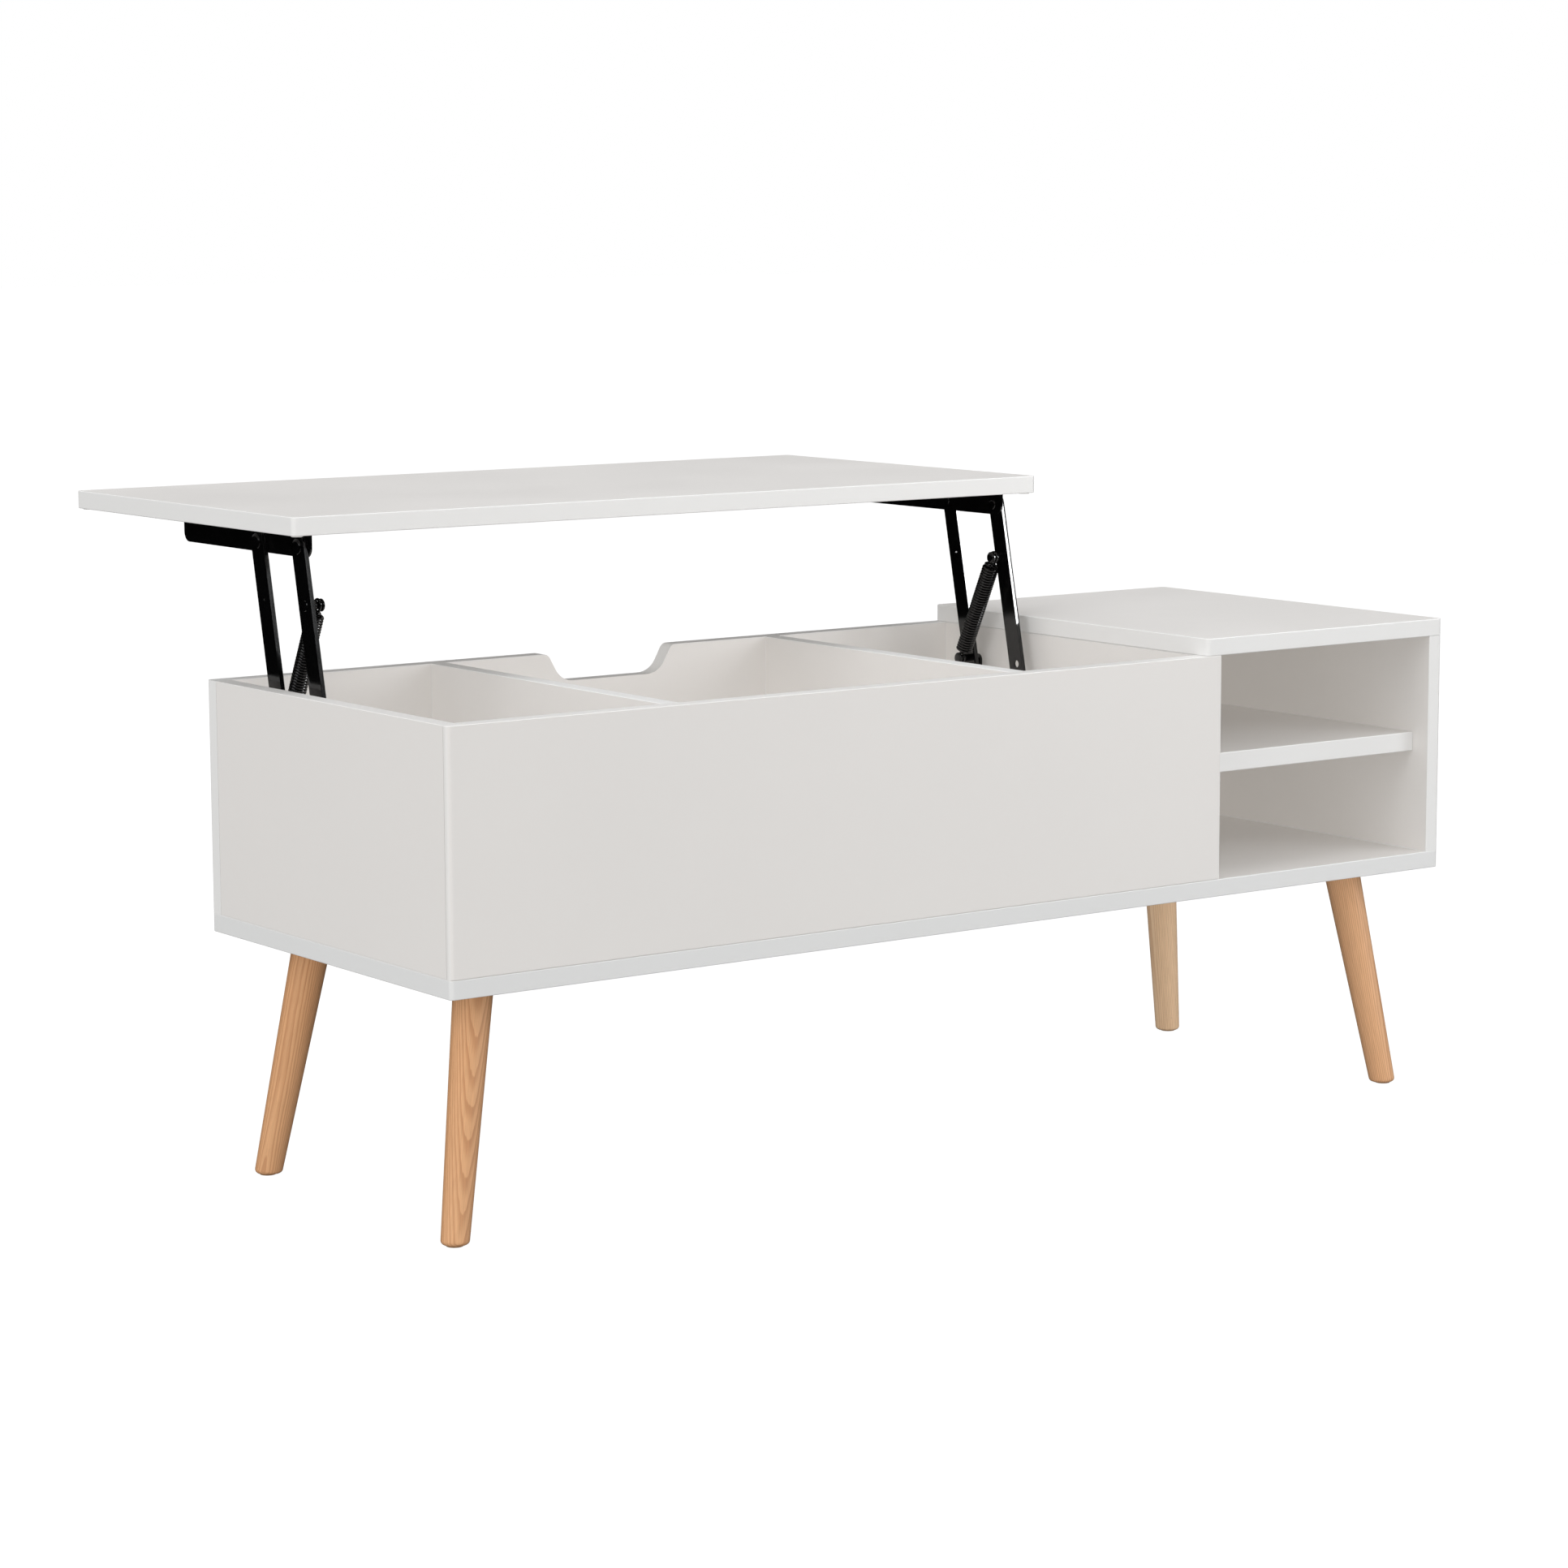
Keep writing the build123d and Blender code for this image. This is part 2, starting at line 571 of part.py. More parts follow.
def add_arm(pivot, hole_distances):
    """Add a flat arm with a stiffening lip on its near edge, its two pivot holes and its stud holes."""
    with BuildSketch(arm_plane(pivot, arm_x)) as blade:
        with Locations((arm_pitch / 2, 0)):
            SlotCenterToCenter(arm_pitch, arm_width)
        with Locations((0, 0), (arm_pitch, 0)):
            Circle(pivot_radius + pivot_clearance, mode=Mode.SUBTRACT)
        with Locations(*[(distance, 0) for distance in hole_distances]):
            Circle(stud_radius + hole_slack, mode=Mode.SUBTRACT)
    extrude(blade.sketch, amount=arm_thickness)
    with BuildSketch(arm_plane(pivot, arm_x)) as lip:
        with Locations((arm_pitch / 2, half_width - arm_thickness / 2)):
            Rectangle(lip_length, arm_thickness)
    extrude(lip.sketch, amount=arm_lip)


with BuildPart() as near_arm:
    add_arm(near_pivot, (low_hole, high_hole))
left_pieces["near_arm"] = near_arm

with BuildPart() as far_arm:
    add_arm(far_pivot, (low_hole,))
    spare_hole = along_arm(far_pivot, high_hole)
    drill([(arm_x, spare_hole[0], spare_hole[1])], INWARD, spare_hole_radius, arm_thickness)
left_pieces["far_arm"] = far_arm


def add_stud(point):
    """Add a shouldered spring stud, riveted through the arm at a point."""
    tail_x = arm_x - stud_tail_thickness
    head_x = spring_x + stud_head_thickness
    rods([(tail_x, point[0], point[1])], INWARD, stud_tail_radius, stud_tail_thickness)
    rods([(arm_x, point[0], point[1])], INWARD, stud_radius, head_x - arm_x)
    cones([(head_x, point[0], point[1])], INWARD, stud_head_radius, stud_head_radius * 0.7,
          stud_head_thickness)


with BuildPart() as near_spring_stud:
    add_stud(near_stud_point)
left_pieces["near_spring_stud"] = near_spring_stud

with BuildPart() as far_spring_stud:
    add_stud(far_stud_point)
left_pieces["far_spring_stud"] = far_spring_stud

# ---- base bracket: a plate on the panel, with a tall ear that carries the far arm's stop
bracket_y = (near_pivot[0] - bracket_before_near_pivot, far_pivot[0] + bracket_behind_far_pivot)
bracket_z = (near_pivot[1] - bracket_below_pivots, near_pivot[1] + bracket_above_pivots)
ear_z = near_pivot[1] + ear_height
tab_out = half_width + stop_clearance + buffer_thickness
with BuildPart() as base_bracket:
    with BuildSketch(side_plane(left_bin_x)):
        with BuildLine():
            Polyline((bracket_y[0], bracket_z[0]), (bracket_y[1], bracket_z[0]), (bracket_y[1], ear_z),
                     (bracket_y[1] - ear_width, ear_z), (bracket_y[1] - ear_width, bracket_z[1]),
                     (bracket_y[0], bracket_z[1]), close=True)
        make_face()
    extrude(amount=bracket_thickness)
    fillet(base_bracket.edges().filter_by(Axis.X), bracket_corner)
    with BuildSketch(arm_plane(far_pivot, left_bin_x)):
        with Locations((middle((stop_start, stop_end)), -tab_out - bracket_thickness / 2)):
            Rectangle(stop_end - stop_start, bracket_thickness)
    extrude(amount=stop_tab_reach)
    drill([(left_bin_x, pivot[0], pivot[1]) for pivot in (near_pivot, far_pivot)], INWARD,
          pivot_radius + hole_slack, bracket_thickness)
    drill(bracket_screws, INWARD, wood_screw_radius + hole_slack, bracket_thickness)
left_pieces["base_bracket"] = base_bracket

with BuildPart() as stop_buffer:
    with BuildSketch(arm_plane(far_pivot, left_bin_x + bracket_thickness + side_clearance)):
        with Locations((middle((stop_start, stop_end)), -tab_out + buffer_thickness / 2)):
            Rectangle(stop_end - stop_start, buffer_thickness)
    extrude(amount=stop_tab_reach - bracket_thickness - side_clearance)
    fillet(stop_buffer.edges().filter_by(Axis.X).group_by(Axis.Y)[0], buffer_thickness / 4)
left_pieces["stop_buffer"] = stop_buffer

# ---- lid bracket: an angle whose flange screws up into the lid
pivot_level = lid_z - upper_pivot_drop
bracket_x = left_bin_x + lid_bracket_offset
with BuildPart() as lid_bracket:
    with BuildSketch(side_plane(bracket_x)):
        with Locations((middle(lid_bracket_y), lid_z - lid_bracket_height / 2)):
            Rectangle(lid_bracket_length, lid_bracket_height)
    extrude(amount=lid_bracket_thickness)
    fillet(lid_bracket.edges().filter_by(Axis.X).group_by(Axis.Z)[0], lid_bracket_end_radius)
    slab(flange_x, lid_bracket_y, (lid_z - lid_bracket_thickness, lid_z))
    drill([(bracket_x, pivot[0], pivot[1]) for pivot in (upper_near, upper_far)], INWARD,
          pivot_radius + hole_slack, lid_bracket_thickness)
    drill(lid_screws, DOWN, wood_screw_radius + hole_slack, lid_bracket_thickness)
left_pieces["lid_bracket"] = lid_bracket

# ---- coil springs: a closed tube for the coils with its lower hook, and the upper hook apart
spring_vector = Vector(0, near_stud_point[0] - far_stud_point[0], near_stud_point[1] - far_stud_point[1])
spring_length = spring_vector.length
hook_radius = stud_radius + hook_clearance + spring_wire_radius
lower_plane = Plane(origin=(spring_x, far_stud_point[0], far_stud_point[1]), z_dir=spring_vector,
                    x_dir=INWARD)
upper_plane = Plane(origin=(spring_x, near_stud_point[0], near_stud_point[1]), z_dir=-spring_vector,
                    x_dir=INWARD)
coil_length = spring_length - 2 * spring_end_gap - 2 * spring_wire_radius - spring_split_gap


def add_hook(plane):
    """Add a hook ring round the stud at a plane's origin, with its neck and the end coil."""
    with Locations(Plane(origin=plane.origin, z_dir=plane.x_dir)):
        Torus(hook_radius, spring_wire_radius)
    with Locations(plane.offset(hook_radius)):
        Cylinder(spring_wire_radius, spring_end_gap - hook_radius + spring_wire_radius, align=FROM_BASE)
    with Locations(plane.offset(spring_end_gap)):
        Cylinder(spring_radius, 2 * spring_wire_radius, align=FROM_BASE)


with BuildPart() as lift_spring:
    add_hook(lower_plane)
    with Locations(lower_plane.offset(spring_end_gap)):
        Cylinder(spring_radius, coil_length, align=FROM_BASE)
    with Locations(lower_plane.offset(spring_end_gap + 2 * spring_wire_radius)):
        Cylinder(spring_bore_radius, coil_length, align=FROM_BASE, mode=Mode.SUBTRACT)
left_pieces["lift_spring"] = lift_spring

with BuildPart() as spring_hook:
    add_hook(upper_plane)
left_pieces["spring_hook"] = spring_hook

for name, left_piece in left_pieces.items():
    left_piece.part.label = f"{name}_left"
    export_step(left_piece.part, f"parts/{name}_left.step")
    with BuildPart() as right_piece:
        mirror(left_piece.part, about=storage_middle)
    right_piece.part.label = f"{name}_right"
    export_step(right_piece.part, f"parts/{name}_right.step")

# ---- pivots and screws of both mechanisms
rivet_head_x = arm_inner_x + side_clearance
lower_pivots = [(left_bin_x, pivot[0], pivot[1]) for pivot in (near_pivot, far_pivot)]
with BuildPart() as lower_pivot_rivets:
    rods(lower_pivots, INWARD, pivot_radius, rivet_head_x - left_bin_x)
    cones([(rivet_head_x, y, z) for x, y, z in lower_pivots], INWARD, pivot_head_radius,
          pivot_head_radius * 0.7, pivot_head_thickness)
    mirror(about=storage_middle)
lower_pivot_rivets.part.label = "lower_pivot_rivets"
export_step(lower_pivot_rivets.part, "parts/lower_pivot_rivets.step")

with BuildPart() as pivot_bushes:
    bush_ends = [(left_bin_x + bracket_thickness, y, z) for x, y, z in lower_pivots]
    bush_length = arm_offset - bracket_thickness - side_clearance
    rods(bush_ends, INWARD, bush_radius, bush_length)
    drill(bush_ends, INWARD, pivot_radius + hole_slack, bush_length)
    mirror(about=storage_middle)
pivot_bushes.part.label = "pivot_bushes"
export_step(pivot_bushes.part, "parts/pivot_bushes.step")

upper_pivots = [(arm_x - side_clearance, pivot[0], pivot[1]) for pivot in (upper_near, upper_far)]
web_inner_x = bracket_x + lid_bracket_thickness
with BuildPart() as upper_pivot_rivets:
    rods(upper_pivots, INWARD, pivot_radius, web_inner_x - upper_pivots[0][0])
    cones(upper_pivots, OUTWARD, pivot_head_radius, pivot_head_radius * 0.7, pivot_head_thickness)
    cones([(web_inner_x, y, z) for x, y, z in upper_pivots], INWARD, pivot_tail_radius,
          pivot_tail_radius * 0.7, pivot_tail_thickness)
    mirror(about=storage_middle)
upper_pivot_rivets.part.label = "upper_pivot_rivets"
export_step(upper_pivot_rivets.part, "parts/upper_pivot_rivets.step")

with BuildPart() as pivot_washers:
    washer_x = arm_inner_x + washer_clearance
    washer_thickness = bracket_x - washer_clearance - washer_x
    washer_ends = [(washer_x, y, z) for x, y, z in upper_pivots]
    rods(washer_ends, INWARD, washer_radius, washer_thickness)
    drill(washer_ends, INWARD, pivot_radius + hole_slack, washer_thickness)
    mirror(about=storage_middle)
pivot_washers.part.label = "pivot_washers"
export_step(pivot_washers.part, "parts/pivot_washers.step")

with BuildPart() as base_bracket_screws:
    plate_face = [(left_bin_x + bracket_thickness, y, z) for x, y, z in bracket_screws]
    rods(plate_face, OUTWARD, wood_screw_radius, wood_screw_length)
    cones(plate_face, INWARD, wood_screw_head_radius, wood_screw_head_radius * 0.6, wood_screw_head_height)
    mirror(about=storage_middle)
base_bracket_screws.part.label = "base_bracket_screws"
export_step(base_bracket_screws.part, "parts/base_bracket_screws.step")

with BuildPart() as lid_bracket_screws:
    flange_face = [(x, y, lid_z - lid_bracket_thickness) for x, y, z in lid_screws]
    rods(flange_face, UP, wood_screw_radius, wood_screw_length)
    cones(flange_face, DOWN, wood_screw_head_radius, wood_screw_head_radius * 0.6, wood_screw_head_height)
    mirror(about=storage_middle)
lid_bracket_screws.part.label = "lid_bracket_screws"
export_step(lid_bracket_screws.part, "parts/lid_bracket_screws.step")
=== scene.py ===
"""Looks of a lift top coffee table: white boards, turned wooden legs and two sprung lifting arms."""

import json
import logging
import math
from collections.abc import Sequence
from dataclasses import dataclass, field
from enum import Enum

import bmesh
import bpy
from mathutils import Matrix, Vector


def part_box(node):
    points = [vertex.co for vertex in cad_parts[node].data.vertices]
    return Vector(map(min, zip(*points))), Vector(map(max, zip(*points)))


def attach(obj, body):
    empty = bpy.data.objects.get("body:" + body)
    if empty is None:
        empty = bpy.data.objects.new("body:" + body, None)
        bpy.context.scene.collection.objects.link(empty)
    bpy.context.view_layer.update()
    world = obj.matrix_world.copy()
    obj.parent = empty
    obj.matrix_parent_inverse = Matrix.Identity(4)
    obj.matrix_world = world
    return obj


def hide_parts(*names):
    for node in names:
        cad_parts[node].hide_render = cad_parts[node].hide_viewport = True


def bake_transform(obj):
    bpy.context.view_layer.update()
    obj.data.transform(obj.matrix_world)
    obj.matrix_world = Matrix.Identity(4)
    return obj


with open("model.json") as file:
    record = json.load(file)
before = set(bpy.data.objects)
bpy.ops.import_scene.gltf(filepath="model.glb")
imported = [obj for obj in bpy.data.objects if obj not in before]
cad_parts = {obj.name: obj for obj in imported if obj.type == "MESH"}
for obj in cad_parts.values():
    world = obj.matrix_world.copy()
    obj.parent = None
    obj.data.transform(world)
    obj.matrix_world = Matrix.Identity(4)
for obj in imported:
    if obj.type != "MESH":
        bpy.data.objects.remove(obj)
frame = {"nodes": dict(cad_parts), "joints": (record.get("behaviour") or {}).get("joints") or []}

LOG = logging.getLogger("coffee_table")
MM = 0.001
Colour = tuple[float, float, float]
Socket = bpy.types.NodeSocket


# ---------------------------------------------------------------- node trees


class Tree:
    """A node tree with short calls for adding nodes already linked or set."""

    def __init__(self, tree: bpy.types.NodeTree) -> None:
        """Keep the tree that nodes are added to."""
        self.tree = tree

    def link(self, source: Socket, target: Socket) -> None:
        """Link an output socket to an input socket."""
        self.tree.links.new(source, target)

    def add(self, kind: str, inputs: dict[str | int, object] | None = None,
            **settings: object) -> bpy.types.Node:
        """Add a node.

        Args:
            kind: Blender's name for the node type.
            inputs: value or source socket of each input, by name or number.
            **settings: the node's own properties.

        Returns:
            The new node.
        """
        node = self.tree.nodes.new(kind)
        for name, value in settings.items():
            setattr(node, name, value)
        for key, value in (inputs or {}).items():
            if isinstance(value, Socket):
                self.link(value, node.inputs[key])
            else:
                node.inputs[key].default_value = value
        return node

    def math(self, operation: str, *values: float | Socket, clamp: bool = False) -> Socket:
        """Add a Math node.

        Args:
            operation: Blender's name for the operation.
            *values: one to three numbers or sockets.
            clamp: keep the result between 0 and 1.

        Returns:
            The result socket.
        """
        node = self.add("ShaderNodeMath", dict(enumerate(values)), operation=operation, use_clamp=clamp)
        return node.outputs[0]

    def vector_math(self, operation: str, *values: Sequence[float] | Socket) -> bpy.types.Node:
        """Add a Vector Math node and return it, since its result may be a vector or a number."""
        return self.add("ShaderNodeVectorMath", dict(enumerate(values)), operation=operation)

    def remap(self, value: Socket, low: float, high: float, to_low: float = 0.0,
              to_high: float = 1.0) -> Socket:
        """Map a range of values smoothly onto another.

        Args:
            value: the number to map.
            low: start of the range it comes from.
            high: end of the range it comes from.
            to_low: result at low.
            to_high: result at high.

        Returns:
            The mapped number.
        """
        numbers = {"Value": value, "From Min": low, "From Max": high, "To Min": to_low, "To Max": to_high}
        return self.add("ShaderNodeMapRange", numbers, interpolation_type="SMOOTHSTEP").outputs[0]

    def mix(self, factor: float | Socket, first: Colour | Socket, second: Colour | Socket,
            blend: str = "MIX") -> Socket:
        """Mix two colours.

        Args:
            factor: share of the second colour.
            first: the colour at factor 0.
            second: the colour at factor 1.
            blend: Blender's name for the way they mix.

        Returns:
            The mixed colour.
        """
        node = self.add("ShaderNodeMix", data_type="RGBA", blend_type=blend)
        for socket, value in zip((node.inputs[0], node.inputs[6], node.inputs[7]), (factor, first, second)):
            if isinstance(value, Socket):
                self.link(value, socket)
            else:
                socket.default_value = (*value, 1.0) if isinstance(value, tuple) else value
        return node.outputs[2]

    def noise(self, vector: Socket, scale: float | Socket, detail: float = 2.0, roughness: float = 0.5,
              distortion: float = 0.0) -> Socket:
        """Add a Noise Texture.

        Args:
            vector: where it is read.
            scale: how fine it is.
            detail: number of finer layers.
            roughness: strength of the finer layers.
            distortion: how far it is swirled.

        Returns:
            The noise value, from 0 to 1.
        """
        numbers = {"Vector": vector, "Scale": scale, "Detail": detail, "Roughness": roughness,
                   "Distortion": distortion}
        return self.add("ShaderNodeTexNoise", numbers).outputs["Fac"]

    def swing(self, noise: Socket, width: float) -> Socket:
        """Centre a noise value on zero and give its whole range a width."""
        return self.math("MULTIPLY", self.math("SUBTRACT", noise, 0.5), width)

    def grey(self, value: Socket) -> Socket:
        """Turn a number into a grey colour."""
        return self.add("ShaderNodeCombineColor", {0: value, 1: value, 2: value}).outputs[0]


def new_group(name: str, kind: str, inputs: Sequence[tuple[str, str, object]],
              outputs: Sequence[tuple[str, str]]) -> tuple[Tree, bpy.types.Node, bpy.types.Node]:
    """Start a node group with named inputs and outputs.

    Args:
        name: name of the group.
        kind: "ShaderNodeTree" or "GeometryNodeTree".
        inputs: name, socket type and default value (or None) of each input.
        outputs: name and socket type of each output.

    Returns:
        The tree, its input node and its output node.
    """
    tree = bpy.data.node_groups.new(name, kind)
    for label, socket_type, value in inputs:
        socket = tree.interface.new_socket(label, in_out="INPUT", socket_type=socket_type)
        if value is not None:
            socket.default_value = value
    for label, socket_type in outputs:
        tree.interface.new_socket(label, in_out="OUTPUT", socket_type=socket_type)
    builder = Tree(tree)
    return builder, builder.add("NodeGroupInput"), builder.add("NodeGroupOutput")


def fine_peel_group() -> bpy.types.NodeTree:
    """Build the group for the fine skin of a coating: a height for bump and a slow change of tone."""
    tree, source, sink = new_group(
        "fine_peel", "ShaderNodeTree",
        [("Vector", "NodeSocketVector", None), ("Grain", "NodeSocketFloat", 900.0),
         ("Cloud", "NodeSocketFloat", 6.0)],
        [("Height", "NodeSocketFloat"), ("Tone", "NodeSocketFloat")])
    place = source.outputs["Vector"]
    grain = tree.noise(place, source.outputs["Grain"], detail=2.0, roughness=0.45)
    cloud = tree.noise(place, source.outputs["Cloud"], detail=3.0, roughness=0.55)
    tree.link(grain, sink.inputs["Height"])
    tree.link(cloud, sink.inputs["Tone"])
    return tree.tree


def edge_band_group() -> bpy.types.NodeTree:
    """Build the group that finds a board's glued edge band: its faces, and its strip on the main face."""
    glue_half_width = 0.1 * MM
    past_any_board = (10.0, 10.0, 10.0)
    face_on, edge_on = 0.80, 0.60
    tree, source, sink = new_group(
        "edge_band", "ShaderNodeTree",
        [("Vector", "NodeSocketVector", None), ("Normal", "NodeSocketVector", None),
         ("Low", "NodeSocketVector", None), ("High", "NodeSocketVector", None),
         ("Face Axis", "NodeSocketVector", None), ("Thickness", "NodeSocketFloat", 0.001)],
        [("Band", "NodeSocketFloat"), ("Glue Line", "NodeSocketFloat")])
    from_low = tree.vector_math("SUBTRACT", source.outputs["Vector"], source.outputs["Low"]).outputs[0]
    from_high = tree.vector_math("SUBTRACT", source.outputs["High"], source.outputs["Vector"]).outputs[0]
    nearest = tree.vector_math("MINIMUM", from_low, from_high).outputs[0]
    far_away = tree.vector_math("MULTIPLY", source.outputs["Face Axis"], past_any_board).outputs[0]
    inset = tree.add("ShaderNodeSeparateXYZ", {0: tree.vector_math("ADD", nearest, far_away).outputs[0]})
    smaller = tree.math("MINIMUM", inset.outputs[0], inset.outputs[1])
    distance = tree.math("MINIMUM", smaller, inset.outputs[2])
    strip = tree.math("LESS_THAN", distance, source.outputs["Thickness"])
    facing = tree.vector_math("DOT_PRODUCT", source.outputs["Normal"],
                              source.outputs["Face Axis"]).outputs["Value"]
    turned = tree.remap(tree.math("ABSOLUTE", facing), face_on, edge_on)
    # This mask of the edge faces is also where the painted edge highlight goes.
    band_and_sheen = tree.math("MAXIMUM", strip, turned)
    gap = tree.math("ABSOLUTE", tree.math("SUBTRACT", distance, source.outputs["Thickness"]))
    line = tree.math("MULTIPLY", tree.math("LESS_THAN", gap, glue_half_width),
                     tree.math("SUBTRACT", 1.0, turned))
    tree.link(band_and_sheen, sink.inputs["Band"])
    tree.link(line, sink.inputs["Glue Line"])
    return tree.tree


def timber_group() -> bpy.types.NodeTree:
    """Build the group for solid timber whose growth rings run along local Z."""
    drawn_out = (1.0, 1.0, 0.10)
    fibre_drawn_out = (1.0, 1.0, 0.018)
    ring_slope = 0.03
    patch_colour, knot_colour = (0.80, 0.54, 0.34), (0.10, 0.045, 0.02)
    tree, source, sink = new_group(
        "timber", "ShaderNodeTree",
        [("Vector", "NodeSocketVector", None), ("Ring Spacing", "NodeSocketFloat", 0.0024),
         ("Pith X", "NodeSocketFloat", 0.04), ("Pith Y", "NodeSocketFloat", 0.02),
         ("Light", "NodeSocketColor", (0.72, 0.45, 0.25, 1.0)),
         ("Dark", "NodeSocketColor", (0.5, 0.26, 0.12, 1.0)), ("Seed", "NodeSocketFloat", 0.0)],
        [("Color", "NodeSocketColor"), ("Height", "NodeSocketFloat"), ("Dull", "NodeSocketFloat")])
    place, seed_value = source.outputs["Vector"], source.outputs["Seed"]
    light, dark = source.outputs["Light"], source.outputs["Dark"]
    seed = tree.add("ShaderNodeCombineXYZ", {0: seed_value, 1: seed_value, 2: seed_value}).outputs[0]
    seeded = tree.vector_math("ADD", place, seed).outputs[0]
    along = tree.vector_math("MULTIPLY", seeded, drawn_out).outputs[0]
    wander = tree.swing(tree.noise(along, 22.0), 8.0 * MM)
    ripple = tree.swing(tree.noise(along, 160.0), 1.2 * MM)

    parts = tree.add("ShaderNodeSeparateXYZ", {0: place})
    off_x = tree.math("SUBTRACT", parts.outputs[0], source.outputs["Pith X"])
    off_y = tree.math("SUBTRACT", parts.outputs[1], source.outputs["Pith Y"])
    square = tree.math("ADD", tree.math("MULTIPLY", off_x, off_x), tree.math("MULTIPLY", off_y, off_y))
    slope = tree.math("MULTIPLY", parts.outputs[2], ring_slope)
    straight = tree.math("ADD", tree.math("SQRT", square), slope)
    radius = tree.math("ADD", straight, tree.math("ADD", wander, ripple))
    ring = tree.math("FRACT", tree.math("DIVIDE", radius, source.outputs["Ring Spacing"]))
    late = tree.math("MULTIPLY", tree.remap(ring, 0.30, 0.88), tree.remap(ring, 1.0, 0.93))

    fibre_place = tree.vector_math("MULTIPLY", seeded, fibre_drawn_out).outputs[0]
    fibre = tree.noise(fibre_place, 1500.0, detail=3.0, roughness=0.6)
    fibre_tone = tree.math("ADD", 0.76, tree.math("MULTIPLY", fibre, 0.50))
    pores = tree.remap(tree.noise(fibre_place, 2300.0, detail=1.0), 0.60, 0.74)
    patches = tree.remap(tree.noise(along, 34.0), 0.42, 0.75, 0.0, 0.12)
    knots = tree.add("ShaderNodeTexVoronoi", {"Vector": seeded, "Scale": 24.0, "Randomness": 1.0},
                     feature="F1").outputs["Distance"]
    knot = tree.remap(knots, 0.045, 0.018)

    ringed = tree.mix(tree.math("MULTIPLY", late, 0.62), light, dark)
    fibred = tree.mix(1.0, ringed, tree.grey(fibre_tone), "MULTIPLY")
    pored = tree.mix(tree.math("MULTIPLY", pores, 0.34), fibred, dark)
    cloudy = tree.mix(patches, pored, patch_colour)
    tree.link(tree.mix(tree.math("MULTIPLY", knot, 0.75), cloudy, knot_colour), sink.inputs["Color"])
    groove = tree.math("ADD", tree.math("MULTIPLY", late, 0.35), tree.math("MULTIPLY", pores, -0.9))
    tree.link(groove, sink.inputs["Height"])
    tree.link(tree.math("ADD", late, pores, clamp=True), sink.inputs["Dull"])
    return tree.tree


GROUPS: dict[str, bpy.types.NodeTree] = {}


def group_node(tree: Tree, name: str, inputs: dict[str | int, object]) -> bpy.types.Node:
    """Place a shared shader group in a material.

    Args:
        tree: the material's tree.
        name: which group.
        inputs: its input values.

    Returns:
        The group node.
    """
    makers = {"fine_peel": fine_peel_group, "edge_band": edge_band_group, "timber": timber_group}
    if name not in GROUPS:
        GROUPS[name] = makers[name]()
    return tree.add("ShaderNodeGroup", inputs, node_tree=GROUPS[name])


# ---------------------------------------------------------------- finishes


def start_material(name: str) -> tuple[bpy.types.Material, Tree, bpy.types.Node, bpy.types.Node]:
    """Make an empty node material.

    Args:
        name: name of the material.

    Returns:
        The material, its tree, its Principled BSDF and its Texture Coordinate node.
    """
    material = bpy.data.materials.new(name)
    material.use_nodes = True
    material.node_tree.nodes.clear()
    tree = Tree(material.node_tree)
    shader = tree.add("ShaderNodeBsdfPrincipled")
    output = tree.add("ShaderNodeOutputMaterial")
    tree.link(shader.outputs[0], output.inputs["Surface"])
    return material, tree, shader, tree.add("ShaderNodeTexCoord")


def add_bump(tree: Tree, shader: bpy.types.Node, height: Socket, depth: float) -> None:
    """Feed a height into the shader's normal.

    Args:
        tree: the material's tree.
        shader: its Principled BSDF.
        height: the height, about 0 to 1.
        depth: real depth of a height of 1, in metres.
    """
    bump = tree.add("ShaderNodeBump", {"Height": height, "Strength": 1.0, "Distance": depth})
    tree.link(bump.outputs[0], shader.inputs["Normal"])


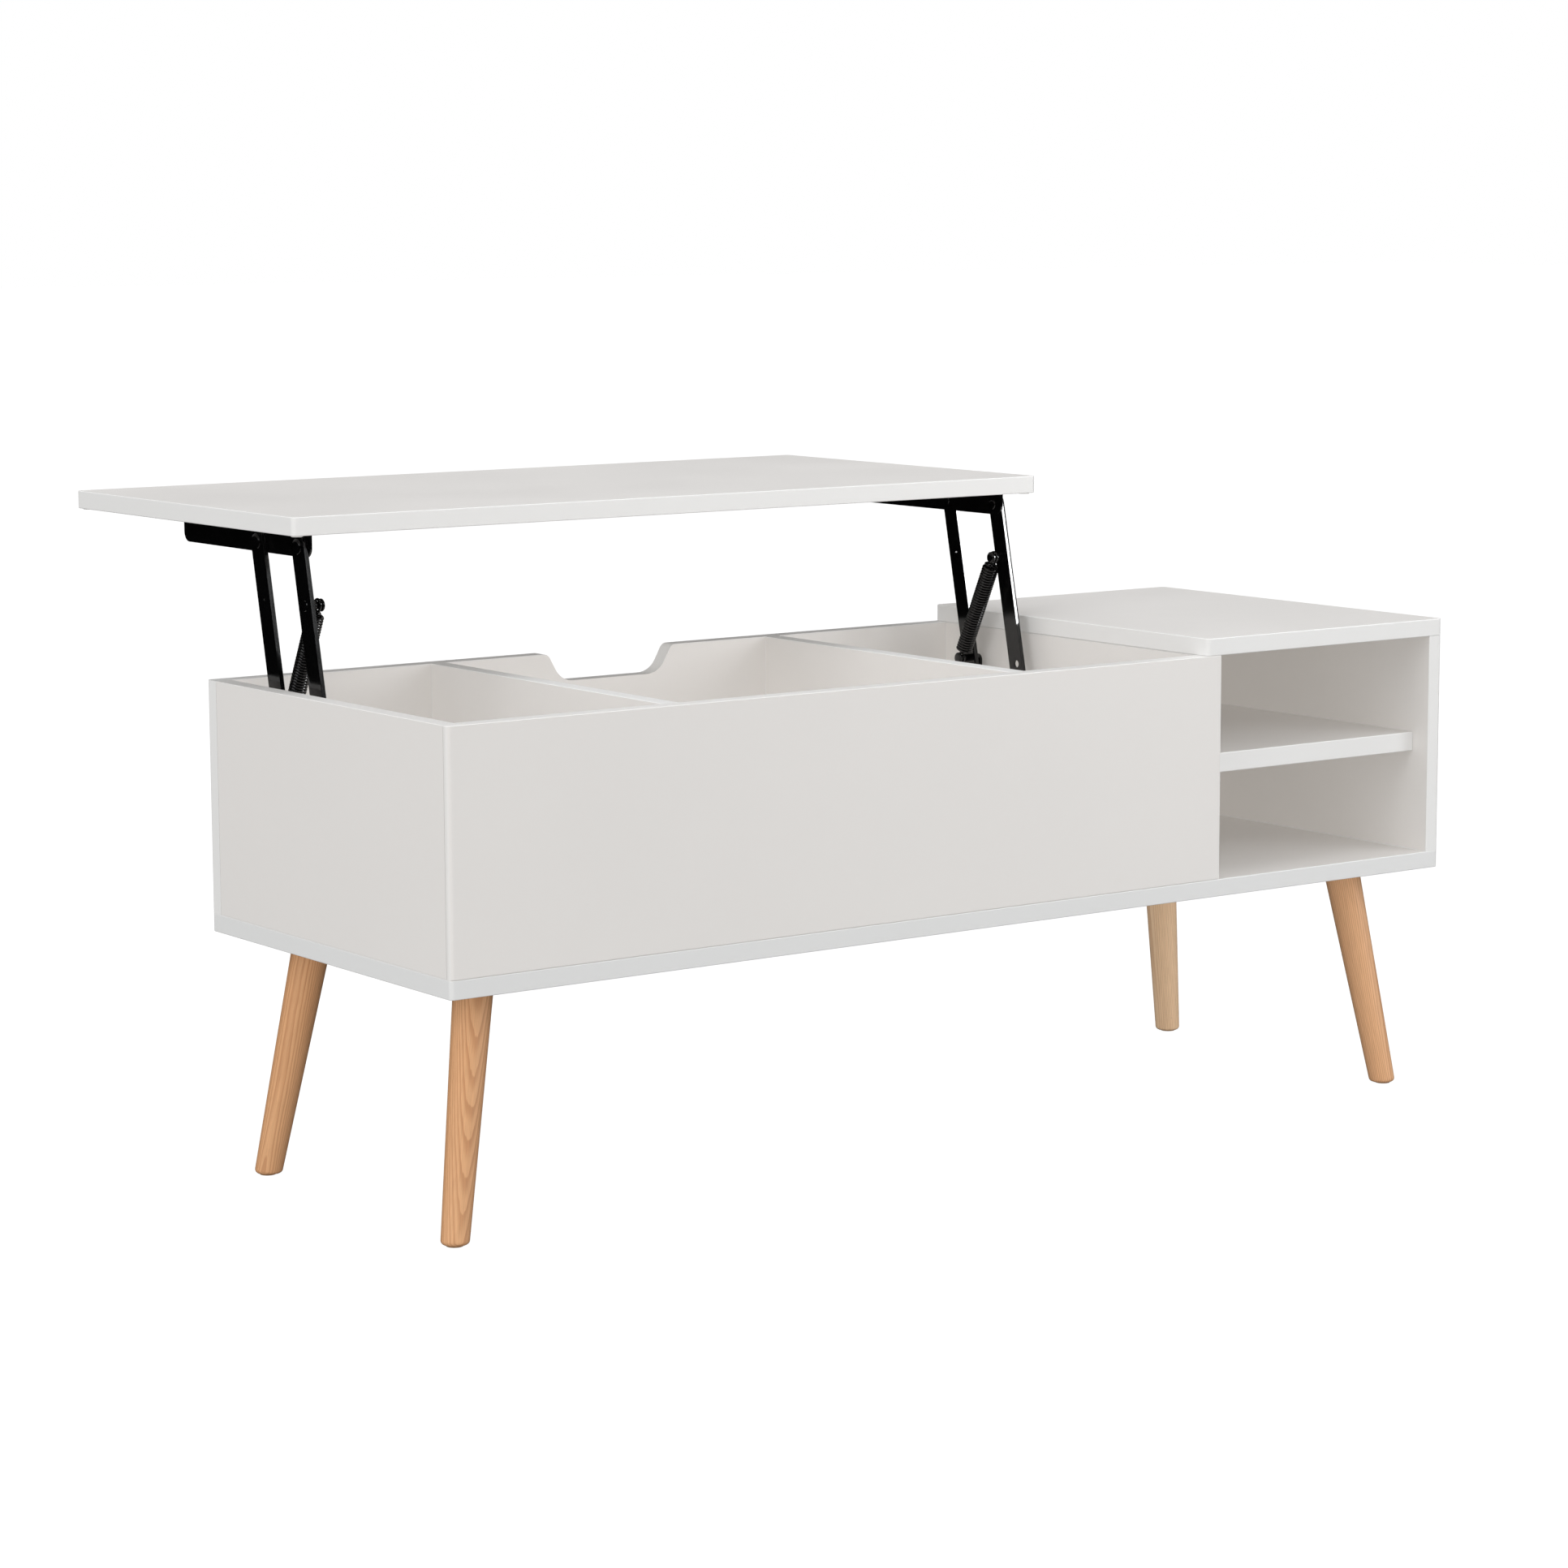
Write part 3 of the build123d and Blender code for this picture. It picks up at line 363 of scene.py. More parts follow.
@dataclass(frozen=True)
class Laminate:
    """White board: warm, faintly pearled faces and a band glued round the edges, painted slightly brighter
    than the faces as a painted highlight on the edges.
    """

    name: str
    node: str
    face_axis: Colour
    face: Colour = (0.775, 0.757, 0.741)
    # Band colour: the edge band's own colour, made brighter than the face as a painted highlight on the
    # board's edges.
    band_and_sheen: Colour = (0.80, 0.80, 0.797)
    glue: Colour = (0.60, 0.585, 0.56)
    band_thickness: float = 0.8 * MM
    grain: float = 850.0
    cloud: float = 5.0
    cloud_shade: float = 0.985
    smoothest: float = 0.40
    roughest: float = 0.47
    band_gloss: float = 0.08
    glue_share: float = 0.35
    glue_drop: float = 1.5
    skin_depth: float = 0.025 * MM
    specular: float = 0.35

    def build(self) -> bpy.types.Material:
        """Build the material for the board it names."""
        material, tree, shader, coords = start_material(self.name)
        place = coords.outputs["Object"]
        low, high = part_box(self.node)
        edge = group_node(tree, "edge_band", {
            "Vector": place, "Normal": coords.outputs["Normal"], "Low": tuple(low), "High": tuple(high),
            "Face Axis": self.face_axis, "Thickness": self.band_thickness})
        band_and_sheen, line = edge.outputs["Band"], edge.outputs["Glue Line"]
        skin = group_node(tree, "fine_peel", {"Vector": place, "Grain": self.grain, "Cloud": self.cloud})
        tone = skin.outputs["Tone"]
        cloudy = tree.mix(tree.remap(tone, 0.35, 0.70), self.face,
                          tuple(self.cloud_shade * part for part in self.face))
        # The edges take the brighter band colour: a painted highlight on top of the band's own colour.
        coloured = tree.mix(band_and_sheen, cloudy, self.band_and_sheen)
        lined = tree.mix(tree.math("MULTIPLY", line, self.glue_share), coloured, self.glue)
        tree.link(lined, shader.inputs["Base Color"])
        rough = tree.math("ADD", tree.remap(tone, 0.3, 0.7, self.smoothest, self.roughest),
                          tree.math("MULTIPLY", band_and_sheen, -self.band_gloss))
        tree.link(rough, shader.inputs["Roughness"])
        shader.inputs["Specular IOR Level"].default_value = self.specular
        height = tree.math("SUBTRACT", skin.outputs["Height"], tree.math("MULTIPLY", line, self.glue_drop))
        add_bump(tree, shader, height, self.skin_depth)
        return material


@dataclass(frozen=True)
class Timber:
    """Clear-coated light solid wood whose grain runs along a leg or a dowel."""

    name: str
    origin: Vector
    direction: Vector
    seed: float = 0.0
    pith: tuple[float, float] = (0.045, 0.02)
    ring: float = 1.7 * MM
    light: Colour = (0.74, 0.405, 0.205)
    dark: Colour = (0.48, 0.205, 0.082)
    coat: float = 0.18
    coat_roughness: float = 0.22
    smoothest: float = 0.36
    roughest: float = 0.52
    specular: float = 0.4
    grain_depth: float = 0.05 * MM

    def build(self) -> bpy.types.Material:
        """Build the material, with its grain turned to the piece's own axis."""
        material, tree, shader, coords = start_material(self.name)
        turn = self.direction.to_track_quat("Z", "Y").to_matrix().inverted()
        angles = turn.to_euler("XYZ")
        shift = -(turn @ self.origin)
        mapping = tree.add("ShaderNodeMapping", {"Vector": coords.outputs["Object"], "Location": tuple(shift),
                                                 "Rotation": tuple(angles)}, vector_type="POINT")
        wood = group_node(tree, "timber", {
            "Vector": mapping.outputs[0], "Ring Spacing": self.ring, "Pith X": self.pith[0],
            "Pith Y": self.pith[1], "Light": (*self.light, 1.0), "Dark": (*self.dark, 1.0),
            "Seed": self.seed})
        tree.link(wood.outputs["Color"], shader.inputs["Base Color"])
        rough = tree.remap(wood.outputs["Dull"], 0.0, 1.0, self.smoothest, self.roughest)
        tree.link(rough, shader.inputs["Roughness"])
        shader.inputs["Coat Weight"].default_value = self.coat
        shader.inputs["Coat Roughness"].default_value = self.coat_roughness
        shader.inputs["Specular IOR Level"].default_value = self.specular
        add_bump(tree, shader, wood.outputs["Height"], self.grain_depth)
        return material


@dataclass(frozen=True)
class Coating:
    """Paint, plating or moulded plastic: one colour with clouding, a fine skin and handling marks."""

    name: str
    colour: Colour
    roughness: float
    roughness_range: float = 0.08
    metallic: float = 0.0
    specular: float = 0.5
    grain: float = 700.0
    depth: float = 0.02 * MM
    mark: Colour | None = None
    mark_share: float = 0.12
    cloud: float = 28.0
    cloud_share: float = 0.18
    mark_scale: float = 190.0

    def build(self) -> bpy.types.Material:
        """Build the material."""
        material, tree, shader, coords = start_material(self.name)
        place = coords.outputs["Object"]
        skin = group_node(tree, "fine_peel", {"Vector": place, "Grain": self.grain, "Cloud": self.cloud})
        tone = tree.mix(skin.outputs["Tone"], tuple((1.0 - self.cloud_share) * part for part in self.colour),
                        tuple((1.0 + self.cloud_share) * part for part in self.colour))
        if self.mark:
            scuffs = tree.noise(place, self.mark_scale, detail=4.0, roughness=0.7, distortion=0.6)
            share = tree.remap(scuffs, 0.66, 0.80, 0.0, self.mark_share)
            tone = tree.mix(share, tone, self.mark)
        tree.link(tone, shader.inputs["Base Color"])
        spread = tree.remap(skin.outputs["Tone"], 0.3, 0.7, self.roughness - self.roughness_range / 2,
                            self.roughness + self.roughness_range / 2)
        tree.link(spread, shader.inputs["Roughness"])
        shader.inputs["Metallic"].default_value = self.metallic
        shader.inputs["Specular IOR Level"].default_value = self.specular
        add_bump(tree, shader, skin.outputs["Height"], self.depth)
        return material


class Finish(Enum):
    """The plain finishes, each built once and shared by its pieces."""

    BLACK_STEEL = Coating("gloss_black", (0.0018, 0.0018, 0.0020), 0.12, 0.05, specular=0.60, grain=420.0,
                          depth=0.01 * MM, mark=(0.006, 0.006, 0.0065))
    SPRING_WIRE = Coating("spring_wire", (0.0022, 0.0022, 0.0024), 0.11, 0.04, specular=0.70, grain=1400.0,
                          depth=0.01 * MM, mark=(0.02, 0.02, 0.02))
    BRIGHT_STEEL = Coating("zinc_plate", (0.62, 0.62, 0.60), 0.30, metallic=1.0, grain=1600.0,
                           depth=0.01 * MM, mark=(0.32, 0.31, 0.29), mark_share=0.4)
    BLACK_PLASTIC = Coating("soft_black", (0.012, 0.012, 0.013), 0.50, specular=0.4, grain=1900.0,
                            depth=0.03 * MM)
    PALE_BUMPER = Coating("pale_bumper", (0.72, 0.72, 0.71), 0.42, specular=0.4, grain=1500.0)
    GLIDE = Coating("glide", (0.42, 0.26, 0.15), 0.55, specular=0.4, grain=1300.0, depth=0.03 * MM)

    def material(self) -> bpy.types.Material:
        """Return the finish's material, built the first time it is asked for."""
        found = bpy.data.materials.get(self.value.name)
        return found or self.value.build()


def paint(target: bpy.types.Object, material: bpy.types.Material) -> None:
    """Give every material slot of an object one material."""
    if not target.material_slots:
        target.data.materials.append(material)
    for place in target.material_slots:
        place.material = material


# ---------------------------------------------------------------- meshes


def new_object(name: str, mesh: bpy.types.Mesh) -> bpy.types.Object:
    """Link a mesh into the scene as an object at the origin."""
    made = bpy.data.objects.new(name, mesh)
    bpy.context.scene.collection.objects.link(made)
    return made


def finished_mesh(shape: bmesh.types.BMesh, name: str) -> bpy.types.Mesh:
    """Write an edited shape into a new mesh and free the shape."""
    mesh = bpy.data.meshes.new(name)
    shape.to_mesh(mesh)
    shape.free()
    return mesh


def merged_copy(node: str) -> bmesh.types.BMesh:
    """Copy a CAD node's mesh with its doubled points merged and its flat triangles joined.

    Args:
        node: name of the CAD node.

    Returns:
        The copy, which the caller frees.
    """
    copy = bmesh.new()
    copy.from_mesh(frame["nodes"][node].data)
    bmesh.ops.remove_doubles(copy, verts=copy.verts[:], dist=0.002 * MM)
    bmesh.ops.dissolve_limit(copy, angle_limit=math.radians(0.5), verts=copy.verts[:], edges=copy.edges[:])
    return copy


def islands(node: str) -> list[tuple[Vector, Vector]]:
    """Find the separate solids of a CAD node.

    Args:
        node: name of the CAD node.

    Returns:
        Lowest and highest corner of each solid, in a steady order.
    """
    copy = merged_copy(node)
    unseen = set(copy.verts)
    boxes = []
    while unseen:
        reached = [unseen.pop()]
        points = []
        while reached:
            vert = reached.pop()
            points.append(vert.co.copy())
            for edge in vert.link_edges:
                other = edge.other_vert(vert)
                if other in unseen:
                    unseen.discard(other)
                    reached.append(other)
        boxes.append((Vector([min(point[axis] for point in points) for axis in range(3)]),
                      Vector([max(point[axis] for point in points) for axis in range(3)])))
    copy.free()
    return sorted(boxes, key=lambda pair: [round(value, 5) for value in pair[0]])


def baked(temporary: bpy.types.Object, name: str) -> bpy.types.Object:
    """Turn an object and its modifiers into a plain mesh object.

    Args:
        temporary: the object whose evaluated shape is wanted; it is removed.
        name: name of the new piece.

    Returns:
        The plain mesh object.
    """
    graph = bpy.context.evaluated_depsgraph_get()
    mesh = bpy.data.meshes.new_from_object(temporary.evaluated_get(graph), depsgraph=graph)
    mesh.name = name
    bpy.data.objects.remove(temporary, do_unlink=True)
    return new_object(name, mesh)


def smooth_by_angle(piece: bpy.types.Object, degrees: float = 35.0) -> None:
    """Shade a piece smooth, with sharp edges where it turns more than an angle."""
    shape = bmesh.new()
    shape.from_mesh(piece.data)
    for face in shape.faces:
        face.smooth = True
    for edge in shape.edges:
        edge.smooth = len(edge.link_faces) == 2 and edge.calc_face_angle(0.0) < math.radians(degrees)
    shape.to_mesh(piece.data)
    shape.free()


def set_inputs(modifier: bpy.types.NodesModifier, values: dict[str, object]) -> None:
    """Set a Geometry Nodes modifier's inputs by their sockets' identifiers.

    Args:
        modifier: the modifier.
        values: value of each input, by its name in the tree.
    """
    for item in modifier.node_group.interface.items_tree:
        if getattr(item, "in_out", "") == "INPUT" and item.name in values:
            modifier[item.identifier] = values[item.name]


def run_tree(carrier: bpy.types.Object, tree: bpy.types.NodeTree, values: dict[str, object],
             name: str) -> bpy.types.Object:
    """Run a Geometry Nodes tree on an object and keep its result as a plain piece.

    Args:
        carrier: the object that the tree starts from; it is removed.
        tree: the tree.
        values: its inputs by name.
        name: name of the piece.

    Returns:
        The piece.
    """
    modifier = carrier.modifiers.new("shape", "NODES")
    modifier.node_group = tree
    set_inputs(modifier, values)
    return baked(carrier, name)


def lathe(profile: Sequence[tuple[float, float]], steps: int = 32) -> bmesh.types.BMesh:
    """Turn a profile round Z.

    Args:
        profile: radius and height of each point, from the axis round to the axis, outside on the right.
        steps: number of faces round the turn.

    Returns:
        The closed shape, which the caller frees.
    """
    shape = bmesh.new()
    rings = []
    for radius, height in profile:
        if radius <= 0.0:
            rings.append([shape.verts.new((0.0, 0.0, height))])
            continue
        angles = [2.0 * math.pi * step / steps for step in range(steps)]
        rings.append([shape.verts.new((radius * math.cos(angle), radius * math.sin(angle), height))
                      for angle in angles])
    for low, high in zip(rings, rings[1:]):
        for step in range(steps):
            after = (step + 1) % steps
            corners = [low[step % len(low)], low[after % len(low)],
                       high[after % len(high)], high[step % len(high)]]
            distinct = list(dict.fromkeys(corners))
            if len(distinct) > 2:
                shape.faces.new(distinct)
    bmesh.ops.recalc_face_normals(shape, faces=shape.faces[:])
    return shape


class Head(Enum):
    """Kinds of fastener head, drawn with the seat at Z = 0 and the head above it."""

    CROSS_PAN = "cross_pan"
    HEX_FLUSH = "hex_flush"
    DOME = "dome"
    STUD = "stud"


@dataclass(frozen=True)
class Fastener:
    """One turned fastener shape: a head with its drive recess, and a plain shank below the seat."""

    kind: Head
    head_radius: float
    head_height: float
    shank_radius: float
    shank_length: float
    tail_radius: float = 0.0
    tail_height: float = 0.0
    steps: int = 28

    def profile(self) -> list[tuple[float, float]]:
        """Return the profile from the shank's end up to the top of the head."""
        wide, high, thin, deep = self.head_radius, self.head_height, self.shank_radius, -self.shank_length
        if self.tail_radius:
            low = deep - self.tail_height
            foot = [(0.0, low), (self.tail_radius * 0.62, low),
                    (self.tail_radius * 0.9, low + self.tail_height * 0.3), (self.tail_radius, deep),
                    (thin, deep)]
        else:
            foot = [(0.0, deep), (thin * 0.55, deep), (thin, deep + thin * 0.7)]
        heads = {
            Head.CROSS_PAN: [(thin, 0.0), (wide * 0.96, 0.0), (wide, high * 0.14), (wide * 0.97, high * 0.42),
                             (wide * 0.84, high * 0.76), (wide * 0.60, high * 0.95), (wide * 0.3, high),
                             (0.0, high)],
            Head.HEX_FLUSH: [(thin, 0.0), (wide * 0.98, high * 0.92), (wide * 0.95, high), (0.0, high)],
            Head.DOME: [(thin, 0.0), (wide * 0.95, 0.0), (wide, high * 0.10), (wide * 0.98, high * 0.34),
                        (wide * 0.88, high * 0.64), (wide * 0.66, high * 0.88), (wide * 0.36, high * 0.98),
                        (0.0, high)],
            Head.STUD: [(thin, 0.0), (wide * 0.93, 0.0), (wide, high * 0.12), (wide, high * 0.52),
                        (wide * 0.93, high * 0.72), (wide * 0.70, high), (0.0, high)],
        }
        return foot + heads[self.kind]

    def mesh(self) -> bpy.types.Mesh:
        """Build the fastener's mesh, with its recess cut where the head has one."""
        mesh = finished_mesh(lathe(self.profile(), self.steps), self.kind.value)
        if self.kind in (Head.CROSS_PAN, Head.HEX_FLUSH):
            return self.cut(mesh)
        return mesh

    def cut(self, mesh: bpy.types.Mesh) -> bpy.types.Mesh:
        """Cut the drive recess into the head.

        Args:
            mesh: the uncut fastener.

        Returns:
            The cut mesh.
        """
        cutter = bmesh.new()
        depth_share = 0.62 if self.kind is Head.CROSS_PAN else 0.8
        floor, above = self.head_height * (1.0 - depth_share), self.head_height + 0.2 * MM
        if self.kind is Head.CROSS_PAN:
            arm, half = self.head_radius * 0.58, self.head_radius * 0.13
            outline = [(arm, -half), (arm, half), (half, half), (half, arm), (-half, arm), (-half, half),
                       (-arm, half), (-arm, -half), (-half, -half), (-half, -arm), (half, -arm),
                       (half, -half)]
        else:
            across = self.head_radius * 0.5
            outline = [(across * math.cos(k * math.pi / 3), across * math.sin(k * math.pi / 3))
                       for k in range(6)]
        base = [cutter.verts.new((x, y, floor)) for x, y in outline]
        top = [cutter.verts.new((x, y, above)) for x, y in outline]
        cutter.faces.new(base)
        cutter.faces.new(top)
        for step, corner in enumerate(base):
            after = (step + 1) % len(base)
            cutter.faces.new([corner, base[after], top[after], top[step]])
        bmesh.ops.recalc_face_normals(cutter, faces=cutter.faces[:])
        blank, tool = new_object("blank", mesh), new_object("recess", finished_mesh(cutter, "recess"))
        boolean = blank.modifiers.new("recess", "BOOLEAN")
        boolean.operation, boolean.solver, boolean.object = "DIFFERENCE", "EXACT", tool
        result = baked(blank, self.kind.value)
        made = result.data
        bpy.data.objects.remove(tool, do_unlink=True)
        bpy.data.objects.remove(result, do_unlink=True)
        return made


# ---------------------------------------------------------------- geometry node trees


def scatter_tree() -> bpy.types.NodeTree:
    """Build the tree that stands one fastener at every point, turned to the point's stored direction."""
    tree, source, sink = new_group(
        "fastener_rows", "GeometryNodeTree",
        [("Geometry", "NodeSocketGeometry", None), ("Fastener", "NodeSocketObject", None),
         ("Seed", "NodeSocketInt", 7), ("Largest Spin", "NodeSocketFloat", math.tau),
         ("Finish", "NodeSocketMaterial", None)],
        [("Geometry", "NodeSocketGeometry")])
    shape = tree.add("GeometryNodeObjectInfo", {"Object": source.outputs["Fastener"]})
    facing = tree.add("GeometryNodeInputNamedAttribute", {"Name": "facing"}, data_type="FLOAT_VECTOR")
    turn = tree.add("FunctionNodeAlignRotationToVector", {"Vector": facing.outputs[0]}, axis="Z")
    placed = tree.add("GeometryNodeInstanceOnPoints", {
        "Points": source.outputs["Geometry"], "Instance": shape.outputs["Geometry"],
        "Rotation": turn.outputs[0]})
    spin = tree.add("FunctionNodeRandomValue", {"Seed": source.outputs["Seed"]}, data_type="FLOAT")
    tree.link(source.outputs["Largest Spin"], spin.inputs[3])
    angle = tree.add("ShaderNodeCombineXYZ", {2: spin.outputs[1]})
    spun = tree.add("GeometryNodeRotateInstances", {
        "Instances": placed.outputs[0], "Rotation": angle.outputs[0], "Local Space": True})
    real = tree.add("GeometryNodeRealizeInstances", {0: spun.outputs[0]})
    dressed = tree.add("GeometryNodeSetMaterial", {"Geometry": real.outputs[0],
                                                   "Material": source.outputs["Finish"]})
    tree.link(dressed.outputs[0], sink.inputs[0])
    return tree.tree


def wire_tree() -> bpy.types.NodeTree:
    """Build the tree that sweeps a round wire along a centre line."""
    tree, source, sink = new_group(
        "swept_wire", "GeometryNodeTree",
        [("Geometry", "NodeSocketGeometry", None), ("Wire Radius", "NodeSocketFloat", 0.00125),
         ("Sides", "NodeSocketInt", 10), ("Finish", "NodeSocketMaterial", None)],
        [("Geometry", "NodeSocketGeometry")])
    line = tree.add("GeometryNodeMeshToCurve", {"Mesh": source.outputs["Geometry"]})
    ring = tree.add("GeometryNodeCurvePrimitiveCircle", {
        "Resolution": source.outputs["Sides"], "Radius": source.outputs["Wire Radius"]}, mode="RADIUS")
    swept = tree.add("GeometryNodeCurveToMesh", {"Curve": line.outputs[0], "Profile Curve": ring.outputs[0],
                                                 "Fill Caps": True})
    real = tree.add("GeometryNodeRealizeInstances", {0: swept.outputs[0]})
    smooth = tree.add("GeometryNodeSetShadeSmooth", {"Geometry": real.outputs[0]})
    dressed = tree.add("GeometryNodeSetMaterial", {"Geometry": smooth.outputs[0],
                                                   "Material": source.outputs["Finish"]})
    tree.link(dressed.outputs[0], sink.inputs[0])
    return tree.tree


# ---------------------------------------------------------------- sub-assemblies


@dataclass
class Assembly:
    """A group of pieces that are built, dressed and reported together."""

    title: str = "assembly"
    made: list[str] = field(default_factory=list)

    def note(self, name: str, body: str) -> None:
        """Remember and report a finished piece."""
        self.made.append(name)
        LOG.info("%s: %s rides on %s", self.title, name, body)

    def keep(self, node: str, material: bpy.types.Material) -> None:
        """Show a CAD node as it is, with a better finish."""
        paint(frame["nodes"][node], material)
        self.made.append(node)
        LOG.info("%s: %s keeps its shape", self.title, node)

    def settle(self, piece: bpy.types.Object, body: str, slot: str, *nodes: str) -> None:
        """Tie a finished piece to its body and hide the CAD nodes that it stands for.

        Args:
            piece: the piece.
            body: the body that it rides on.
            slot: the record's material slot of its finish; not used.
            *nodes: the CAD nodes that it replaces.
        """
        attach(piece, body)
        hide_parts(*nodes)
        self.note(piece.name, body)


@dataclass
class Boards(Assembly):
    """The white boards of the carcass and the lid."""

    title: str = "boards"
    lying: tuple[str, ...] = ("base_board", "fixed_top", "cubby_shelf", "lid_panel")
    along: tuple[str, ...] = ("plain_side_panel", "notched_side_panel")
    across: tuple[str, ...] = ("left_end_panel", "left_divider", "right_divider", "partition_panel",
                               "right_end_panel")
    # Band colours toned to how each board's edge is lit: the base board's band is painted darker than its
    # face as painted shade, and the side and end panels' bands are close to their faces, without the painted
    # edge highlight.
    band_colours_toned_to_light: dict[str, Colour] = field(default_factory=lambda: {
        "base_board": (0.748, 0.755, 0.758), "plain_side_panel": (0.772, 0.762, 0.752),
        "left_end_panel": (0.772, 0.762, 0.752)})

    def build(self) -> None:
        """Dress each board with laminate that knows which of its sides are edges."""
        for names, axis in ((self.lying, (0.0, 0.0, 1.0)), (self.along, (0.0, 1.0, 0.0)),
                            (self.across, (1.0, 0.0, 0.0))):
            for name in names:
                band_and_sheen = self.band_colours_toned_to_light.get(name, Laminate.band_and_sheen)
                self.keep(name, Laminate(f"laminate_{name}", name, axis, band_and_sheen=band_and_sheen).build())


@dataclass
class Legs(Assembly):
    """Four turned wooden legs with their plates, bolts and glides."""

    title: str = "legs"
    corners: tuple[str, ...] = ("near_left", "far_left", "near_right", "far_right")
    piths: tuple[tuple[float, float], ...] = (
        (0.030, -0.034), (-0.05, 0.016), (0.024, 0.040), (-0.028, -0.03))
    # Each leg's wood colours are its own copy of one timber, toned to how it is lit: the far right leg is
    # painted much lighter as painted light for the light it catches from behind, and the near right leg is
    # also given lighter colours.
    leg_tones_toned_to_light: tuple[tuple[Colour, Colour], ...] = (
        ((0.72, 0.395, 0.20), (0.47, 0.20, 0.08)), ((0.71, 0.385, 0.192), (0.46, 0.195, 0.078)),
        ((0.80, 0.465, 0.255), (0.54, 0.25, 0.11)), ((0.92, 0.66, 0.43), (0.70, 0.42, 0.24)))

    def axis(self, corner: str) -> tuple[Vector, Vector]:
        """Find a leg's foot centre and the way it points.

        Args:
            corner: which leg.

        Returns:
            The foot's centre and the direction up the leg.
        """
        points = [vertex.co for vertex in frame["nodes"][f"leg_{corner}"].data.vertices]
        low, high = min(point.z for point in points), max(point.z for point in points)
        ends = []
        for level in (low, high):
            ring = [point for point in points if abs(point.z - level) < 0.3 * MM]
            ends.append(sum(ring, Vector()) / len(ring))
        return ends[0], (ends[1] - ends[0]).normalized()

    def build(self) -> None:
        """Dress the legs with timber along their own axes, and their hardware."""
        for number, corner in enumerate(self.corners):
            foot, direction = self.axis(corner)
            # The leg's own copy of the wood colours, carrying the painted light of its place.
            light, dark = self.leg_tones_toned_to_light[number]
            wood = Timber(f"leg_timber_lit_{corner}", foot, direction, seed=3.7 * number + 1.3,
                          pith=self.piths[number], light=light, dark=dark)
            self.keep(f"leg_{corner}", wood.build())
        self.keep("leg_plates", Finish.BLACK_STEEL.material())
        self.keep("hanger_bolts", Finish.BRIGHT_STEEL.material())
        self.keep("foot_glides", Finish.GLIDE.material())


@dataclass
class FastenerRow(Assembly):
    """All fasteners of one CAD node, remade with real heads."""

    node: str = ""
    body: str = "carcass"
    slot: str = "bright_steel"
    finish: Finish = Finish.BRIGHT_STEEL
    shape: Fastener | None = None
    upright: bool = False
    head_outside: bool = False
    seed: int = 11
    title: str = "fasteners"

    def places(self) -> list[tuple[Vector, Vector]]:
        """Find the seat and the outward direction of each fastener.

        Returns:
            One pair of point and direction for each solid of the node.
        """
        solids = islands(self.node)
        rise = self.shape.head_height
        middle = sum(low.x + high.x for low, high in solids) / (2 * len(solids))
        found = []
        for low, high in solids:
            centre = (low + high) / 2
            if self.upright:
                found.append((Vector((centre.x, centre.y, low.z + rise)), Vector((0, 0, -1))))
            elif (centre.x < middle) != self.head_outside:
                found.append((Vector((high.x - rise, centre.y, centre.z)), Vector((1, 0, 0))))
            else:
                found.append((Vector((low.x + rise, centre.y, centre.z)), Vector((-1, 0, 0))))
        return found

    def build(self) -> None:
        """Stand the fastener at every place of the CAD node."""
        places = self.places()
        mesh = bpy.data.meshes.new("places")
        mesh.from_pydata([tuple(point) for point, _ in places], [], [])
        facing = mesh.attributes.new("facing", "FLOAT_VECTOR", "POINT")
        for number, (_, direction) in enumerate(places):
            facing.data[number].vector = direction
        template = new_object("template", self.shape.mesh())
        piece = run_tree(new_object("places", mesh), scatter_tree(),
                         {"Fastener": template, "Seed": self.seed, "Largest Spin": math.tau,
                          "Finish": self.finish.material()}, f"{self.node}_detail")
        bpy.data.objects.remove(template, do_unlink=True)
        smooth_by_angle(piece)
        self.settle(piece, self.body, self.slot, self.node)


@dataclass
class PressedPart(Assembly):
    """A pressed steel part of the mechanism, with its sharp edges broken."""

    node: str = ""
    body: str = "carcass"
    edge_break: float = 0.35 * MM
    break_angle: float = 40.0
    smooth_angle: float = 20.0
    title: str = "pressed steel"

    def build(self) -> None:
        """Copy the CAD node, break its edges and dress it."""
        blank = new_object(f"{self.node}_blank", finished_mesh(merged_copy(self.node), self.node))
        bevel = blank.modifiers.new("edges", "BEVEL")
        bevel.width, bevel.segments, bevel.limit_method = self.edge_break, 2, "ANGLE"
        bevel.angle_limit, bevel.use_clamp_overlap = math.radians(self.break_angle), True
        piece = baked(blank, f"{self.node}_pressed")
        smooth_by_angle(piece, self.smooth_angle)
        paint(piece, Finish.BLACK_STEEL.material())
        self.settle(piece, self.body, "black_steel", self.node)


